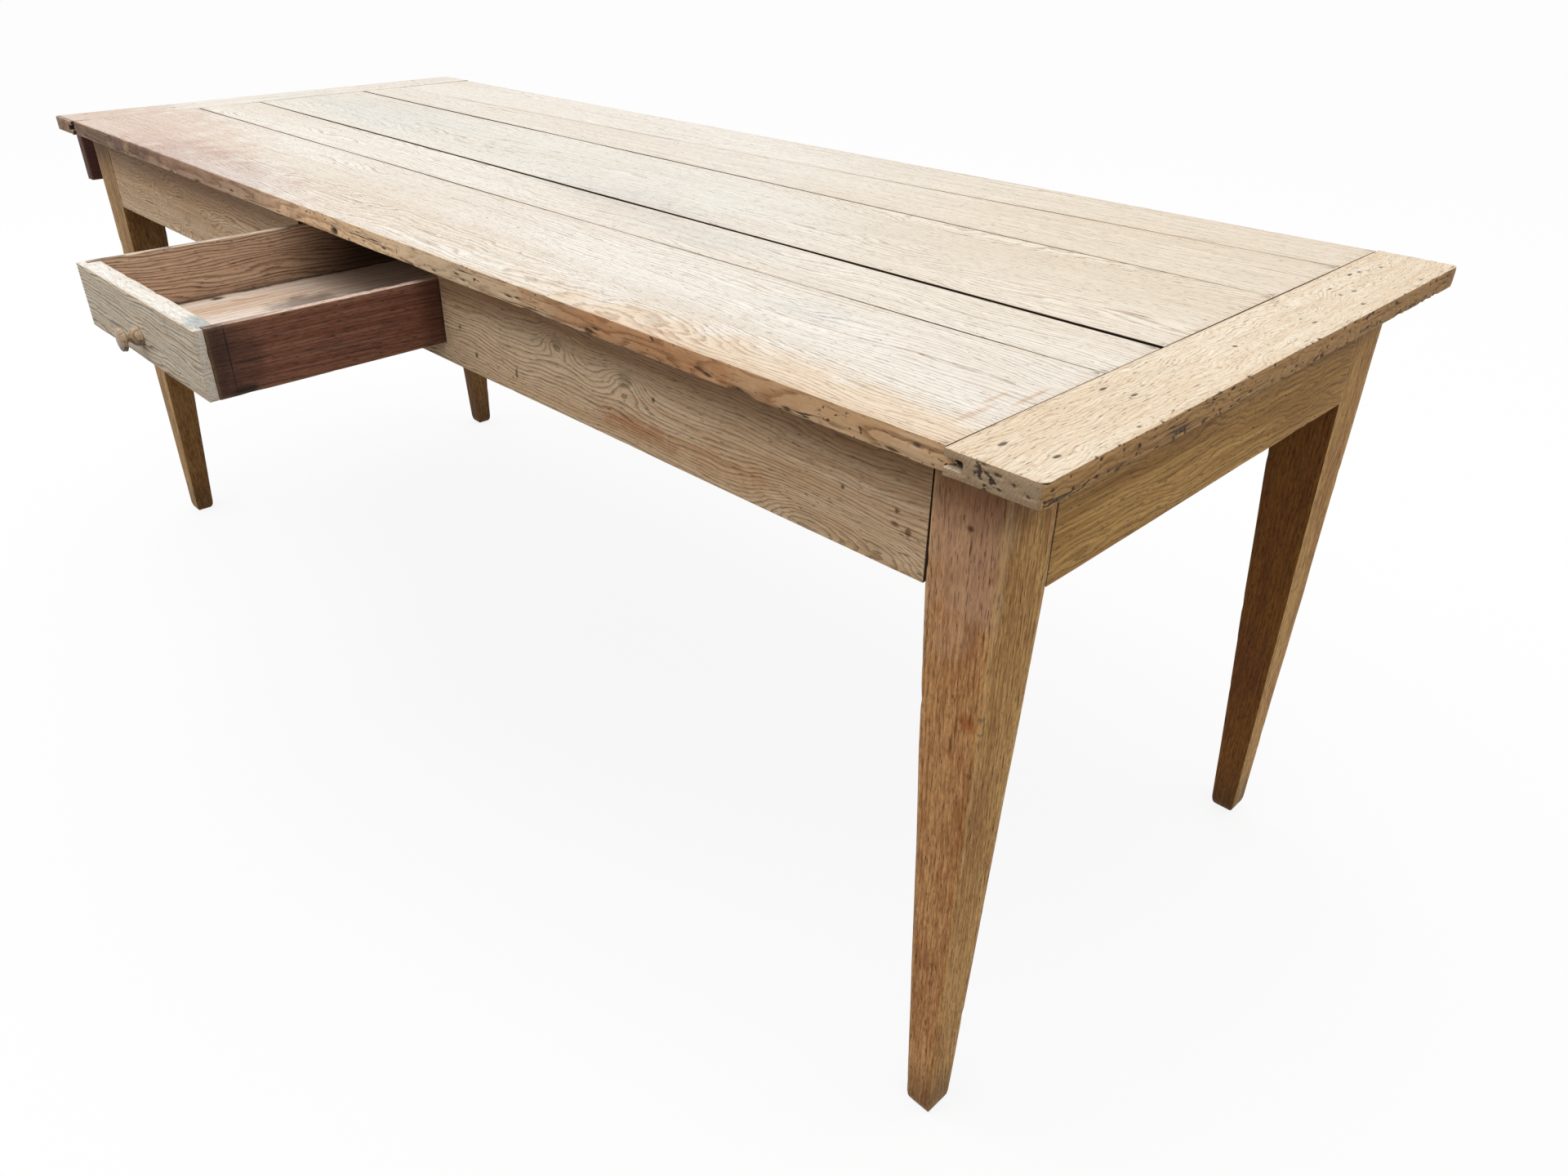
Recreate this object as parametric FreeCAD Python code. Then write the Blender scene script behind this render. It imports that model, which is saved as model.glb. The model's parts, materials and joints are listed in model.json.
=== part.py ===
import FreeCAD, Part
import math
import os

# A farmhouse table in millimetres: a plank top with breadboard ends, four tapered legs tenoned to
# aprons, a drawer in the front apron and a second drawer at the far end, both shown pulled out.
# +X runs to the near end, -Y is the front with its drawer, +Z is up, and z = 0 is the ground.

# Top
table_height = 760.0
top_length = 2030.0
top_width = 780.0
top_thickness = 22.0
breadboard_width = 84.0
breadboard_proud = 4.0
breadboard_gap = 0.8
breadboard_corner_radius = 9.0
edge_round = 2.0
tongue_length = 15.0
tongue_thickness = 7.0
near_seam_shares = (0.272, 0.392, 0.672, 0.873)
far_seam_shares = (0.277, 0.423, 0.695, 0.800)
seam_gaps = (1.4, 3.6, 1.4, 1.0)

# Legs
end_overhang = 46.0
side_overhang = 37.0
leg_width = 71.0
leg_depth = 67.0
foot_width = 30.0
foot_depth = 32.0
foot_chamfer = 4.0

# Aprons and their tenons
apron_height = 120.0
apron_thickness = 24.0
shoulder_gap = 1.0
tenon_length = 32.0
tenon_thickness = 11.0
tenon_setback = 9.0
tenon_upper_shoulder = 22.0
tenon_lower_shoulder = 10.0
fit_clearance = 0.3

# Rails, runners, guides and kickers that carry the drawers
rail_height = 22.0
end_rail_depth = 48.0
end_rail_tenon_thickness = 10.0
runner_width = 34.0
guide_height = 18.0
drawer_side_clearance = 1.6
drawer_run_clearance = 0.3
kicker_clearance = 1.6
end_runner_length = 470.0
stop_length = 20.0
stop_height = 14.0
stop_gap = 0.5

# Glue blocks between aprons and top
block_length = 60.0
block_section = 24.0
far_block_shares = (0.5,)
near_block_shares = (0.25, 0.75)
end_block_shares = (-0.4, 0.4)

# Side drawer
side_drawer_width = 350.0
side_drawer_height = 76.0
side_drawer_depth = 440.0
side_drawer_offset = 5.0
side_drawer_open = 278.0
side_front_thickness = 25.0

# End drawer
end_drawer_height = 70.0
end_drawer_depth = 440.0
end_drawer_open = 78.0
end_front_thickness = 22.0
end_front_inset = 4.0
end_front_top_clearance = 3.0
end_front_seat_gap = 0.5

# Boards of both drawers
drawer_side_thickness = 10.0
drawer_back_thickness = 12.0
drawer_back_drop = 8.0
drawer_bottom_thickness = 8.0
drawer_bottom_rebate = 5.0
drawer_lap = 14.0
bottom_board_gap = 0.6
bottom_split_share = 0.56

# Turned knobs
knob_base_diameter = 22.0
knob_base_height = 2.0
knob_bell_height = 11.5
knob_bell_shares = (0.75, 0.62)
knob_neck_diameter = 9.0
knob_projection = 24.0
knob_disc_diameter = 27.0
knob_disc_thickness = 7.0
knob_crown = 1.5
knob_tenon_diameter = 12.0
knob_tenon_length = 16.0
knob_flare_share = 0.4
knob_hollow_share = 0.4
knob_drop = 9.0

# Nails in the drawers' corners
nail_diameter = 2.4
nail_length = 24.0
nail_head_diameter = 6.0
nail_head_thickness = 1.2
nail_clearance = 0.1
front_nail_shares = (0.2, 0.5, 0.8)
back_nail_shares = (0.35, 0.7)

# Every cut runs past the face that it enters by this much
overrun = 1.0

# An edge nearer than this to a face belongs to that face
pick_distance = 0.5

# Levels and half sizes that follow from the sizes above
half_length = top_length / 2
half_width = top_width / 2
frame_half_length = half_length - end_overhang
frame_half_width = half_width - side_overhang
top_underside = table_height - top_thickness
apron_bottom = top_underside - apron_height
rail_top = apron_bottom + rail_height
drawer_floor = rail_top + drawer_run_clearance
apron_inner_y = frame_half_width - apron_thickness
apron_inner_x = frame_half_length - apron_thickness
leg_inner_x = frame_half_length - leg_width
leg_inner_y = frame_half_width - leg_depth
plank_half_length = half_length - breadboard_width - breadboard_gap
plank_half_width = half_width - breadboard_proud
side_drawer_left = side_drawer_offset - side_drawer_width / 2
side_drawer_right = side_drawer_offset + side_drawer_width / 2
side_drawer_top = drawer_floor + side_drawer_height
side_front_face = -frame_half_width - side_drawer_open
end_front_face = -frame_half_length - end_front_seat_gap - end_drawer_open - end_front_thickness
end_box_half_width = leg_inner_y - drawer_side_clearance
end_drawer_top = drawer_floor + end_drawer_height

# The origin is under the middle of the whole table as it stands, with its drawers out
front_reach = -side_front_face + knob_projection
far_reach = -end_front_face + knob_projection
table_place = FreeCAD.Vector((far_reach - half_length) / 2, (front_reach - half_width) / 2, 0)

up = FreeCAD.Vector(0, 0, 1)
nodes = {}


def box(x, y, z):
    """A block between a low and a high value along each axis."""
    corner = FreeCAD.Vector(x[0], y[0], z[0])
    return Part.makeBox(x[1] - x[0], y[1] - y[0], z[1] - z[0], corner)


def prism(points, along):
    """A flat outline swept along a vector."""
    loop = [FreeCAD.Vector(*p) for p in points]
    return Part.Face(Part.makePolygon(loop + loop[:1])).extrude(along)


def span(a, b):
    """Two values in rising order."""
    return (min(a, b), max(a, b))


def upright_edges(shape, keep):
    """The upright straight edges of a shape whose place passes a test."""
    found = []
    for edge in shape.Edges:
        ends = [v.Point for v in edge.Vertexes]
        upright = len(ends) == 2 and abs(ends[0].z - ends[1].z) > edge.Length / 2
        if upright and keep(ends[0]):
            found.append(edge)
    return found


def top_planks():
    """Five planks, each wider at one end, with a tongue along both ends."""
    names = ("front", "second", "third", "fourth", "back")
    tongue_low = top_underside + (top_thickness - tongue_thickness) / 2
    rows = {}
    for end, shares in (("near", near_seam_shares), ("far", far_seam_shares)):
        seams = [plank_half_width * (2 * share - 1) for share in shares]
        low = [-plank_half_width] + [s + g / 2 for s, g in zip(seams, seam_gaps)]
        high = [s - g / 2 for s, g in zip(seams, seam_gaps)] + [plank_half_width]
        rows[end] = list(zip(low, high))
    for name, near, far in zip(names, rows["near"], rows["far"]):
        outline = [
            (-plank_half_length, far[0], top_underside),
            (plank_half_length, near[0], top_underside),
            (plank_half_length, near[1], top_underside),
            (-plank_half_length, far[1], top_underside),
        ]
        plank = prism(outline, up * top_thickness)
        for x_end, sides in ((plank_half_length, near), (-plank_half_length, far)):
            tip = x_end + tongue_length * (1 if x_end > 0 else -1)
            tongue = box(span(x_end, tip), sides, (tongue_low, tongue_low + tongue_thickness))
            plank = plank.fuse(tongue)
        nodes["top_plank_" + name] = plank.removeSplitter()


def breadboards():
    """The cross boards at the ends of the top, grooved for the planks' tongues."""
    groove_half = tongue_thickness / 2 + fit_clearance
    middle = top_underside + top_thickness / 2
    groove_depth = breadboard_gap + tongue_length + fit_clearance
    for name, way in (("near", 1), ("far", -1)):
        outer = way * half_length
        inner = way * (half_length - breadboard_width)
        board = box(span(inner, outer), (-half_width, half_width), (top_underside, table_height))
        corners = upright_edges(board, lambda p: abs(p.x - outer) < pick_distance)
        board = board.makeFillet(breadboard_corner_radius, corners)
        rim = [
            edge
            for edge in board.Edges
            if min(v.Z for v in edge.Vertexes) > middle and abs(edge.CenterOfMass.x - inner) > pick_distance
        ]
        board = board.makeFillet(edge_round, rim)
        groove = box(
            span(inner - way * overrun, inner + way * groove_depth),
            (-half_width - overrun, half_width + overrun),
            (middle - groove_half, middle + groove_half),
        )
        nodes["breadboard_" + name] = board.cut(groove)


def leg_profile(outer, way, head, foot):
    """Outline of a leg in one upright plane: straight outside, tapered inside, chamfered at the foot."""
    return [
        (outer, top_underside),
        (outer, foot_chamfer),
        (outer - way * foot_chamfer, 0),
        (outer - way * (foot - foot_chamfer), 0),
        (outer - way * foot, foot_chamfer),
        (outer - way * head, apron_bottom),
        (outer - way * head, top_underside),
    ]


def tenon_heights(clearance):
    """Lowest and highest level of an apron's tenon, or of its mortise with a clearance."""
    low = apron_bottom + tenon_lower_shoulder - clearance
    return (low, top_underside - tenon_upper_shoulder + clearance)


def end_rail_heights(clearance):
    """Lowest and highest level of the end rail's tenon, or of its mortise with a clearance."""
    low = apron_bottom + (rail_height - end_rail_tenon_thickness) / 2 - clearance
    return (low, low + end_rail_tenon_thickness + 2 * clearance)


def along_apron_slot(way_x, way_y, reach, clearance):
    """The place of a long apron's tenon in a leg, seen from above."""
    face = way_y * frame_half_width
    near = face - way_y * (tenon_setback - clearance)
    far = face - way_y * (tenon_setback + tenon_thickness + clearance)
    return (span(way_x * leg_inner_x, way_x * (leg_inner_x + reach)), span(near, far))


def across_apron_slot(way_x, way_y, reach, clearance):
    """The place of an end apron's tenon in a leg, seen from above."""
    face = way_x * frame_half_length
    near = face - way_x * (tenon_setback - clearance)
    far = face - way_x * (tenon_setback + tenon_thickness + clearance)
    return (span(near, far), span(way_y * leg_inner_y, way_y * (leg_inner_y + reach)))


def legs():
    """Four legs with mortises for the aprons and, at the far end, for the drawer rail."""
    mortise_depth = tenon_length + fit_clearance
    for end, way_x in (("right", 1), ("left", -1)):
        for side, way_y in (("front", -1), ("back", 1)):
            outer_x = way_x * frame_half_length
            outer_y = way_y * frame_half_width
            in_x = [(x, outer_y, z) for x, z in leg_profile(outer_x, way_x, leg_width, foot_width)]
            in_y = [(outer_x, y, z) for y, z in leg_profile(outer_y, way_y, leg_depth, foot_depth)]
            leg = prism(in_x, FreeCAD.Vector(0, -way_y * leg_depth, 0))
            leg = leg.common(prism(in_y, FreeCAD.Vector(-way_x * leg_width, 0, 0)))
            x, y = along_apron_slot(way_x, way_y, mortise_depth, fit_clearance)
            leg = leg.cut(box(x, y, tenon_heights(fit_clearance)))
            heights = tenon_heights if way_x > 0 else end_rail_heights
            x, y = across_apron_slot(way_x, way_y, mortise_depth, fit_clearance)
            if way_x < 0:
                x = (x[0], x[1] + tenon_thickness)
            leg = leg.cut(box(x, y, heights(fit_clearance)))
            nodes["leg_" + side + "_" + end] = leg


def long_apron(way_y):
    """A board along one long side, flush with the legs' faces, tenoned at both ends."""
    y = span(way_y * frame_half_width, way_y * apron_inner_y)
    reach = leg_inner_x - shoulder_gap
    board = box((-reach, reach), y, (apron_bottom, top_underside))
    for way_x in (1, -1):
        x, y = along_apron_slot(way_x, way_y, tenon_length, 0)
        x = span(way_x * (reach - overrun), way_x * (leg_inner_x + tenon_length))
        board = board.fuse(box(x, y, tenon_heights(0)))
    return board.removeSplitter()


def aprons():
    """Front apron with the drawer's opening, back apron, near end apron and far end rail."""
    opening = box(
        (side_drawer_left - drawer_side_clearance, side_drawer_right + drawer_side_clearance),
        (-frame_half_width - overrun, -apron_inner_y + overrun),
        (rail_top, top_underside + overrun),
    )
    nodes["front_apron"] = long_apron(-1).cut(opening)
    nodes["back_apron"] = long_apron(1)

    reach = leg_inner_y - shoulder_gap
    near = box((apron_inner_x, frame_half_length), (-reach, reach), (apron_bottom, top_underside))
    rail = box(
        (-frame_half_length, -frame_half_length + end_rail_depth), (-reach, reach), (apron_bottom, rail_top)
    )
    for way_y in (1, -1):
        y = span(way_y * (reach - overrun), way_y * (leg_inner_y + tenon_length))
        x = across_apron_slot(1, way_y, tenon_length, 0)[0]
        near = near.fuse(box(x, y, tenon_heights(0)))
        x = across_apron_slot(-1, way_y, tenon_length, 0)[0]
        rail = rail.fuse(box((x[0], x[1] + tenon_thickness), y, end_rail_heights(0)))
    nodes["near_end_apron"] = near.removeSplitter()
    nodes["end_rail"] = rail.removeSplitter()


def side_drawer_gear():
    """Runners, guides and kickers across the table for the side drawer, with its two stops."""
    across = (-apron_inner_y, apron_inner_y)
    stops = []
    for name, edge, way in (("left", side_drawer_left, -1), ("right", side_drawer_right, 1)):
        x = span(edge + way * runner_width / 2, edge - way * runner_width / 2)
        beside = span(edge + way * runner_width / 2, edge + way * drawer_side_clearance)
        under = span(edge - way * runner_width / 2, edge - way * drawer_side_clearance)
        nodes["side_drawer_runner_" + name] = box(x, across, (apron_bottom, rail_top))
        nodes["side_drawer_guide_" + name] = box(beside, across, (rail_top, rail_top + guide_height))
        kicker_low = side_drawer_top + kicker_clearance
        nodes["side_drawer_kicker_" + name] = box(x, across, (kicker_low, top_underside))
        behind = -frame_half_width + side_drawer_depth + stop_gap
        stops.append(box(under, (behind, behind + stop_length), (rail_top, rail_top + stop_height)))
    nodes["side_drawer_stops"] = Part.makeCompound(stops)


def end_drawer_gear():
    """Runners, guides and kickers on the long aprons for the end drawer."""
    along = (-leg_inner_x, -leg_inner_x + end_runner_length)
    for name, way in (("front", -1), ("back", 1)):
        edge = way * end_box_half_width
        wall = way * apron_inner_y
        inner = edge - way * runner_width / 2
        beside = span(wall, edge + way * drawer_side_clearance)
        nodes["end_drawer_runner_" + name] = box(along, span(wall, inner), (apron_bottom, rail_top))
        nodes["end_drawer_guide_" + name] = box(along, beside, (rail_top, rail_top + guide_height))
        nodes["end_drawer_kicker_" + name] = box(
            along, span(wall, inner), (end_drawer_top + kicker_clearance, top_underside)
        )


def glue_blocks():
    """Square blocks in the angle between the aprons and the top."""
    z = (top_underside - block_section, top_underside)
    far_stretch = (-leg_inner_x + end_runner_length, side_drawer_left - runner_width / 2)
    near_stretch = (side_drawer_right + runner_width / 2, leg_inner_x)
    blocks = []
    for (low, high), shares in ((far_stretch, far_block_shares), (near_stretch, near_block_shares)):
        for share in shares:
            middle = low + share * (high - low)
            x = (middle - block_length / 2, middle + block_length / 2)
            for way_y in (1, -1):
                y = span(way_y * apron_inner_y, way_y * (apron_inner_y - block_section))
                blocks.append(box(x, y, z))
    for share in end_block_shares:
        middle = share * leg_inner_y
        y = (middle - block_length / 2, middle + block_length / 2)
        blocks.append(box((apron_inner_x - block_section, apron_inner_x), y, z))
    nodes["top_fixing_blocks"] = Part.makeCompound(blocks)


def knob():
    """A turned knob about Z, with its base at z = 0, its tenon below and its face above."""
    base = knob_base_diameter / 2
    neck = knob_neck_diameter / 2
    disc = knob_disc_diameter / 2
    rim = knob_projection - knob_crown
    under = knob_projection - knob_disc_thickness
    tenon = knob_tenon_diameter / 2
    ball = (disc ** 2 + knob_crown ** 2) / (2 * knob_crown)
    half_turn = math.asin(disc / ball) / 2
    flare_top = under + knob_crown
    flare_low = flare_top - (disc - neck) * knob_flare_share
    points = {
        "foot": (0, -knob_tenon_length),
        "tenon": (tenon, -knob_tenon_length),
        "shoulder": (tenon, 0),
        "base": (base, 0),
        "base_top": (base, knob_base_height),
        "bell": (
            neck + knob_bell_shares[0] * (base - neck),
            knob_base_height + knob_bell_shares[1] * (knob_bell_height - knob_base_height),
        ),
        "neck_low": (neck, knob_bell_height),
        "neck_high": (neck, flare_low),
        "flare": (
            neck + knob_hollow_share * (disc - neck),
            flare_top - knob_hollow_share * (flare_top - flare_low),
        ),
        "disc_low": (disc, flare_top),
        "disc_high": (disc, rim),
        "dome": (ball * math.sin(half_turn), knob_projection - ball * (1 - math.cos(half_turn))),
        "crown": (0, knob_projection),
    }
    at = {key: FreeCAD.Vector(r, 0, z) for key, (r, z) in points.items()}
    edges = [
        Part.LineSegment(at["foot"], at["tenon"]),
        Part.LineSegment(at["tenon"], at["shoulder"]),
        Part.LineSegment(at["shoulder"], at["base"]),
        Part.LineSegment(at["base"], at["base_top"]),
        Part.Arc(at["base_top"], at["bell"], at["neck_low"]),
        Part.LineSegment(at["neck_low"], at["neck_high"]),
        Part.Arc(at["neck_high"], at["flare"], at["disc_low"]),
        Part.LineSegment(at["disc_low"], at["disc_high"]),
        Part.Arc(at["disc_high"], at["dome"], at["crown"]),
        Part.LineSegment(at["crown"], at["foot"]),
    ]
    outline = Part.Wire([edge.toShape() for edge in edges])
    return Part.Face(outline).revolve(FreeCAD.Vector(0, 0, 0), up, 360)


def nail(point, way):
    """A nail driven along X, with the outer face of its head at a point, and the hole that takes it."""
    along = FreeCAD.Vector(way, 0, 0)

    def body(grow):
        start = point - along * (overrun if grow else 0)
        extra = overrun if grow else 0
        head_height = nail_head_thickness + grow + extra
        head = Part.makeCylinder(nail_head_diameter / 2 + grow, head_height, start, along)
        shank = Part.makeCylinder(nail_diameter / 2 + grow, nail_length + grow, point, along)
        return head.fuse(shank).removeSplitter()

    return body(0), body(nail_clearance)


def drawer_boards(sizes):
    """The pieces of a drawer, with its front's outer face on y = 0 and its lower edge on z = 0."""
    half = sizes["width"] / 2
    depth = sizes["depth"]
    height = sizes["height"]
    front_y = sizes["front_thickness"]
    side_start = front_y - drawer_lap
    back_start = depth - drawer_back_thickness
    bottom_z = (0, drawer_bottom_thickness)
    pieces = {}

    front = box(sizes["front_x"], (0, front_y), sizes["front_z"])
    for name, way in (("left", -1), ("right", 1)):
        x = span(way * half, way * (half - drawer_side_thickness))
        side = box(x, (side_start, depth), (0, height))
        rebate_x = span(way * (half - drawer_side_thickness - overrun), way * (half - drawer_bottom_rebate))
        rebate_y = (side_start - overrun, depth + overrun)
        side = side.cut(box(rebate_x, rebate_y, (-overrun, drawer_bottom_thickness)))
        pieces[name + "_side"] = side
        socket_inner = half - drawer_side_thickness - fit_clearance
        socket_x = span(way * (half + sizes["socket_reach"]), way * socket_inner)
        socket_y = (side_start - fit_clearance, front_y + overrun)
        front = front.cut(box(socket_x, socket_y, (-overrun, sizes["socket_top"])))

    inner = half - drawer_side_thickness
    pieces["back"] = box(
        (-inner, inner), (back_start, depth), (drawer_bottom_thickness, height - drawer_back_drop)
    )
    floor_half = half - drawer_bottom_rebate - fit_clearance
    floor_y = (front_y - drawer_bottom_rebate, depth)
    ledge_y = (floor_y[0] - fit_clearance, front_y + overrun)
    front = front.cut(box((-inner, inner), ledge_y, (-overrun, drawer_bottom_thickness)))
    split = floor_half * (2 * bottom_split_share - 1)
    lip = box((-inner + fit_clearance, inner - fit_clearance), (floor_y[0], front_y + overrun), bottom_z)
    floor = box((-floor_half, floor_half), (front_y, depth), bottom_z).fuse(lip).removeSplitter()
    saw = box(
        (split - bottom_board_gap / 2, split + bottom_board_gap / 2),
        (-overrun, depth + overrun),
        (-overrun, drawer_bottom_thickness + overrun),
    )
    boards = sorted(floor.cut(saw).Solids, key=lambda solid: solid.CenterOfMass.x)
    pieces["bottom_left"], pieces["bottom_right"] = boards

    knob_level = sum(sizes["front_z"]) / 2 - knob_drop
    knob_place = FreeCAD.Placement(
        FreeCAD.Vector(0, 0, knob_level), FreeCAD.Rotation(FreeCAD.Vector(1, 0, 0), 90)
    )
    turned = knob()
    turned.Placement = knob_place
    hole_depth = knob_tenon_length + fit_clearance
    hole = Part.makeCylinder(
        knob_tenon_diameter / 2 + fit_clearance,
        hole_depth + overrun,
        FreeCAD.Vector(0, -overrun, knob_level),
        FreeCAD.Vector(0, 1, 0),
    )
    pieces["knob"] = turned
    pieces["front"] = front.cut(hole)
    pieces["nails"] = drive_nails(pieces, sizes, (side_start + front_y) / 2, (back_start + depth) / 2)
    return pieces


def drive_nails(pieces, sizes, front_y, back_y):
    """Nails through the sides into the front and the back, each in its own hole."""
    half = sizes["width"] / 2
    driven = []
    for name, way in (("left", -1), ("right", 1)):
        for y, shares, board in ((front_y, front_nail_shares, "front"), (back_y, back_nail_shares, "back")):
            for share in shares if board != "front" or sizes["nailed_front"] else ():
                point = FreeCAD.Vector(way * half, y, share * sizes["height"])
                solid, hole = nail(point, -way)
                driven.append(solid)
                pieces[name + "_side"] = pieces[name + "_side"].cut(hole)
                pieces[board] = pieces[board].cut(hole)
    return Part.makeCompound(driven)


def place_drawer(name, pieces, turn, place):
    """Turn a drawer's pieces about Z, move them to the table and name them."""
    for piece, shape in pieces.items():
        shape.rotate(FreeCAD.Vector(0, 0, 0), up, turn)
        shape.translate(place)
        nodes[name + "_" + piece] = shape


def drawers():
    """The side drawer in the front apron and the end drawer at the far end."""
    side = {
        "width": side_drawer_width,
        "depth": side_drawer_depth,
        "height": side_drawer_height,
        "front_thickness": side_front_thickness,
        "front_x": (-side_drawer_width / 2, side_drawer_width / 2),
        "front_z": (0, side_drawer_height),
        "socket_reach": overrun,
        "socket_top": side_drawer_height + overrun,
        "nailed_front": True,
    }
    front_half = frame_half_width - end_front_inset
    end = {
        "width": 2 * end_box_half_width,
        "depth": end_drawer_depth,
        "height": end_drawer_height,
        "front_thickness": end_front_thickness,
        "front_x": (-front_half, front_half),
        "front_z": (0, top_underside - end_front_top_clearance - drawer_floor),
        "socket_reach": fit_clearance,
        "socket_top": end_drawer_height + fit_clearance,
        "nailed_front": False,
    }
    side_place = FreeCAD.Vector(side_drawer_offset, side_front_face, drawer_floor)
    end_place = FreeCAD.Vector(end_front_face, 0, drawer_floor)
    place_drawer("side_drawer", drawer_boards(side), 0, side_place)
    place_drawer("end_drawer", drawer_boards(end), -90, end_place)


top_planks()
breadboards()
legs()
aprons()
side_drawer_gear()
end_drawer_gear()
glue_blocks()
drawers()

os.makedirs("parts", exist_ok=True)
for node, shape in nodes.items():
    shape.translate(table_place)
    shape.exportStep("parts/" + node + ".step")
print(len(nodes), "nodes, table middle at", table_place)
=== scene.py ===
import json
import math

import bmesh
import bpy
import numpy as np
from mathutils import Matrix, Vector, kdtree


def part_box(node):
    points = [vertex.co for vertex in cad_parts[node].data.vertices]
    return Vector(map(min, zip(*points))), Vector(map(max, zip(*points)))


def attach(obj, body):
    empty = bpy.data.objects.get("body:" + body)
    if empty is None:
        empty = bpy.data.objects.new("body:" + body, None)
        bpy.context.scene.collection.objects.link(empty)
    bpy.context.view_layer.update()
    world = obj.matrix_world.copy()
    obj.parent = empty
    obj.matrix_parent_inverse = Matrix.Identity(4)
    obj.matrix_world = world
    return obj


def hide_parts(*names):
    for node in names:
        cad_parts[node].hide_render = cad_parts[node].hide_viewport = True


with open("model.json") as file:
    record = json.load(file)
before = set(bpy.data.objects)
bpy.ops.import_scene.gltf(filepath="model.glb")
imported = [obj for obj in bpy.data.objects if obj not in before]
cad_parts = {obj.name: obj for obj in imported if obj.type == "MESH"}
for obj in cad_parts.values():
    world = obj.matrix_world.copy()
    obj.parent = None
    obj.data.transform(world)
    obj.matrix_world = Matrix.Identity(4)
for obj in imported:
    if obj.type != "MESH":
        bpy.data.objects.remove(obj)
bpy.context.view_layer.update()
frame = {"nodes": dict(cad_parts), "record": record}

# Camera, from the photograph: pixels of a picture 1920 wide and 1440 high, and a place by the table
picture_width = 1920.0
picture_height = 1440.0
focal_pixels = 1406.6
optical_centre = (920.7, 723.9)
camera_from_middle = Vector((1.3717, -1.0077, 1.0901))
camera_turn = (1.0286, -0.0057, 0.8019)
sensor_width = 36.0

# Joinery of the top
tongue_length = 0.015
tongue_thickness = 0.007
breadboard_gap = 0.0008
breadboard_corner_radius = 0.009
fit_clearance = 0.0003

# How far each plank beside a seam is worn back, at the seam's far end and at its near end, and how soon
# that changes along the seam: below 1 early, above 1 late
seams = {
    "front": (0.0013, -0.0001, 0.35),
    "second": (-0.0011, 0.0011, 0.3),
    "third": (0.0013, -0.0003, 1.5),
    "fourth": (-0.00035, 0.0, 1.0),
}

# Joinery of the frame
apron_height = 0.120
foot_width = 0.030
foot_depth = 0.032
foot_round_height = 0.014
foot_round_inset = 0.0065
shoulder_gap = 0.001
end_shoulder_gap = 0.0003
tenon_length = 0.032
tenon_thickness = 0.011
tenon_setback = 0.009
tenon_upper_shoulder = 0.022
tenon_lower_shoulder = 0.010
rail_height = 0.022
rail_tenon_thickness = 0.010

# Joinery of the drawers
drawer_side_thickness = 0.010
drawer_side_clearance = 0.0016
drawer_bottom_thickness = 0.008
drawer_bottom_rebate = 0.005
drawer_lap = 0.014

# Grid lines beside every edge, as shares of the edge's roundness
grade_shares = (0.25, 0.6, 1.1, 1.9, 3.0)
least_gap = 0.00005
least_area = 1e-12
tiny = 1e-9
soften_rounds = 5

# How far apart in the tree two boards with following seeds are cut
tree_step = 3.7

# How far a face looks up to be bleached, and along the grain to be end grain
bleached_range = (0.35, 0.9)
end_grain_range = (0.5, 0.9)

# Numbers that scatter the values at the corners of the noise
hash_steps = np.array((73856093, 19349663, 83492791))
hash_seed_step = 26544357
hash_factor = 1274126177
hash_top = 0xFFFF

# Chips: shares of a broad noise, of one four times as fine, and a share that is everywhere
chip_noise_shares = (0.7, 0.5, 0.25)

boxes = {node: tuple(np.array(end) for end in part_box(node)) for node in frame["nodes"]}
top_boxes = [boxes[n] for n in boxes if n.startswith(("top_plank", "breadboard"))]
top_low = np.min([b[0] for b in top_boxes], axis=0)
top_high = np.max([b[1] for b in top_boxes], axis=0)
table_middle = Vector(((top_low[0] + top_high[0]) / 2, (top_low[1] + top_high[1]) / 2, 0))
top_underside = top_low[2]
table_height = top_high[2]
top_middle = (top_underside + table_height) / 2
front_edge = boxes["top_plank_front"][0][1]
bodies = frame["record"]["behaviour"]["bodies"]
body_of_node = {node: body for body, members in bodies.items() for node in members}
slot_of_node = {row["node"]: row["material_slot"] for row in frame["record"]["subparts"]}


def faces(node, axis, way):
    """A part's outer and inner face across an axis, for the way that it looks."""
    low, high = boxes[node]
    return (high[axis], low[axis]) if way > 0 else (low[axis], high[axis])


# Noise and wear

def noise(points, seed=0):
    """Smooth noise from -1 to 1 at points given in units of its grain."""
    cell = np.floor(points).astype(np.int64)
    share = points - cell
    share = share * share * (3 - 2 * share)
    total = np.zeros(len(points))
    for corner in np.ndindex(2, 2, 2):
        mixed = ((cell + np.array(corner)) * hash_steps).sum(1) + seed * hash_seed_step
        mixed = (mixed ^ (mixed >> 13)) * hash_factor
        mixed = (mixed ^ (mixed >> 16)) & hash_top
        weight = np.prod(np.where(corner, share, 1 - share), axis=1)
        total += weight * mixed / hash_top
    return 2 * total - 1


def graded(stops, step, roundness):
    """Grid lines through the stops, close together beside each of them and about a step apart between."""
    near = np.array(grade_shares) * roundness
    lines = list(stops)
    for low, high in zip(stops, stops[1:]):
        half = (high - low) / 2
        offsets = near[near < half - least_gap]
        lines += list(low + offsets) + list(high - offsets)
        reach = offsets[-1] if len(offsets) else 0.0
        count = max(1, math.ceil((high - low - 2 * reach) / step))
        lines += list(np.linspace(low + reach, high - reach, count + 1))
    lines = np.unique(np.array(lines))
    keep = np.concatenate([[True], np.diff(lines) > least_gap])
    return lines[keep]


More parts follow.
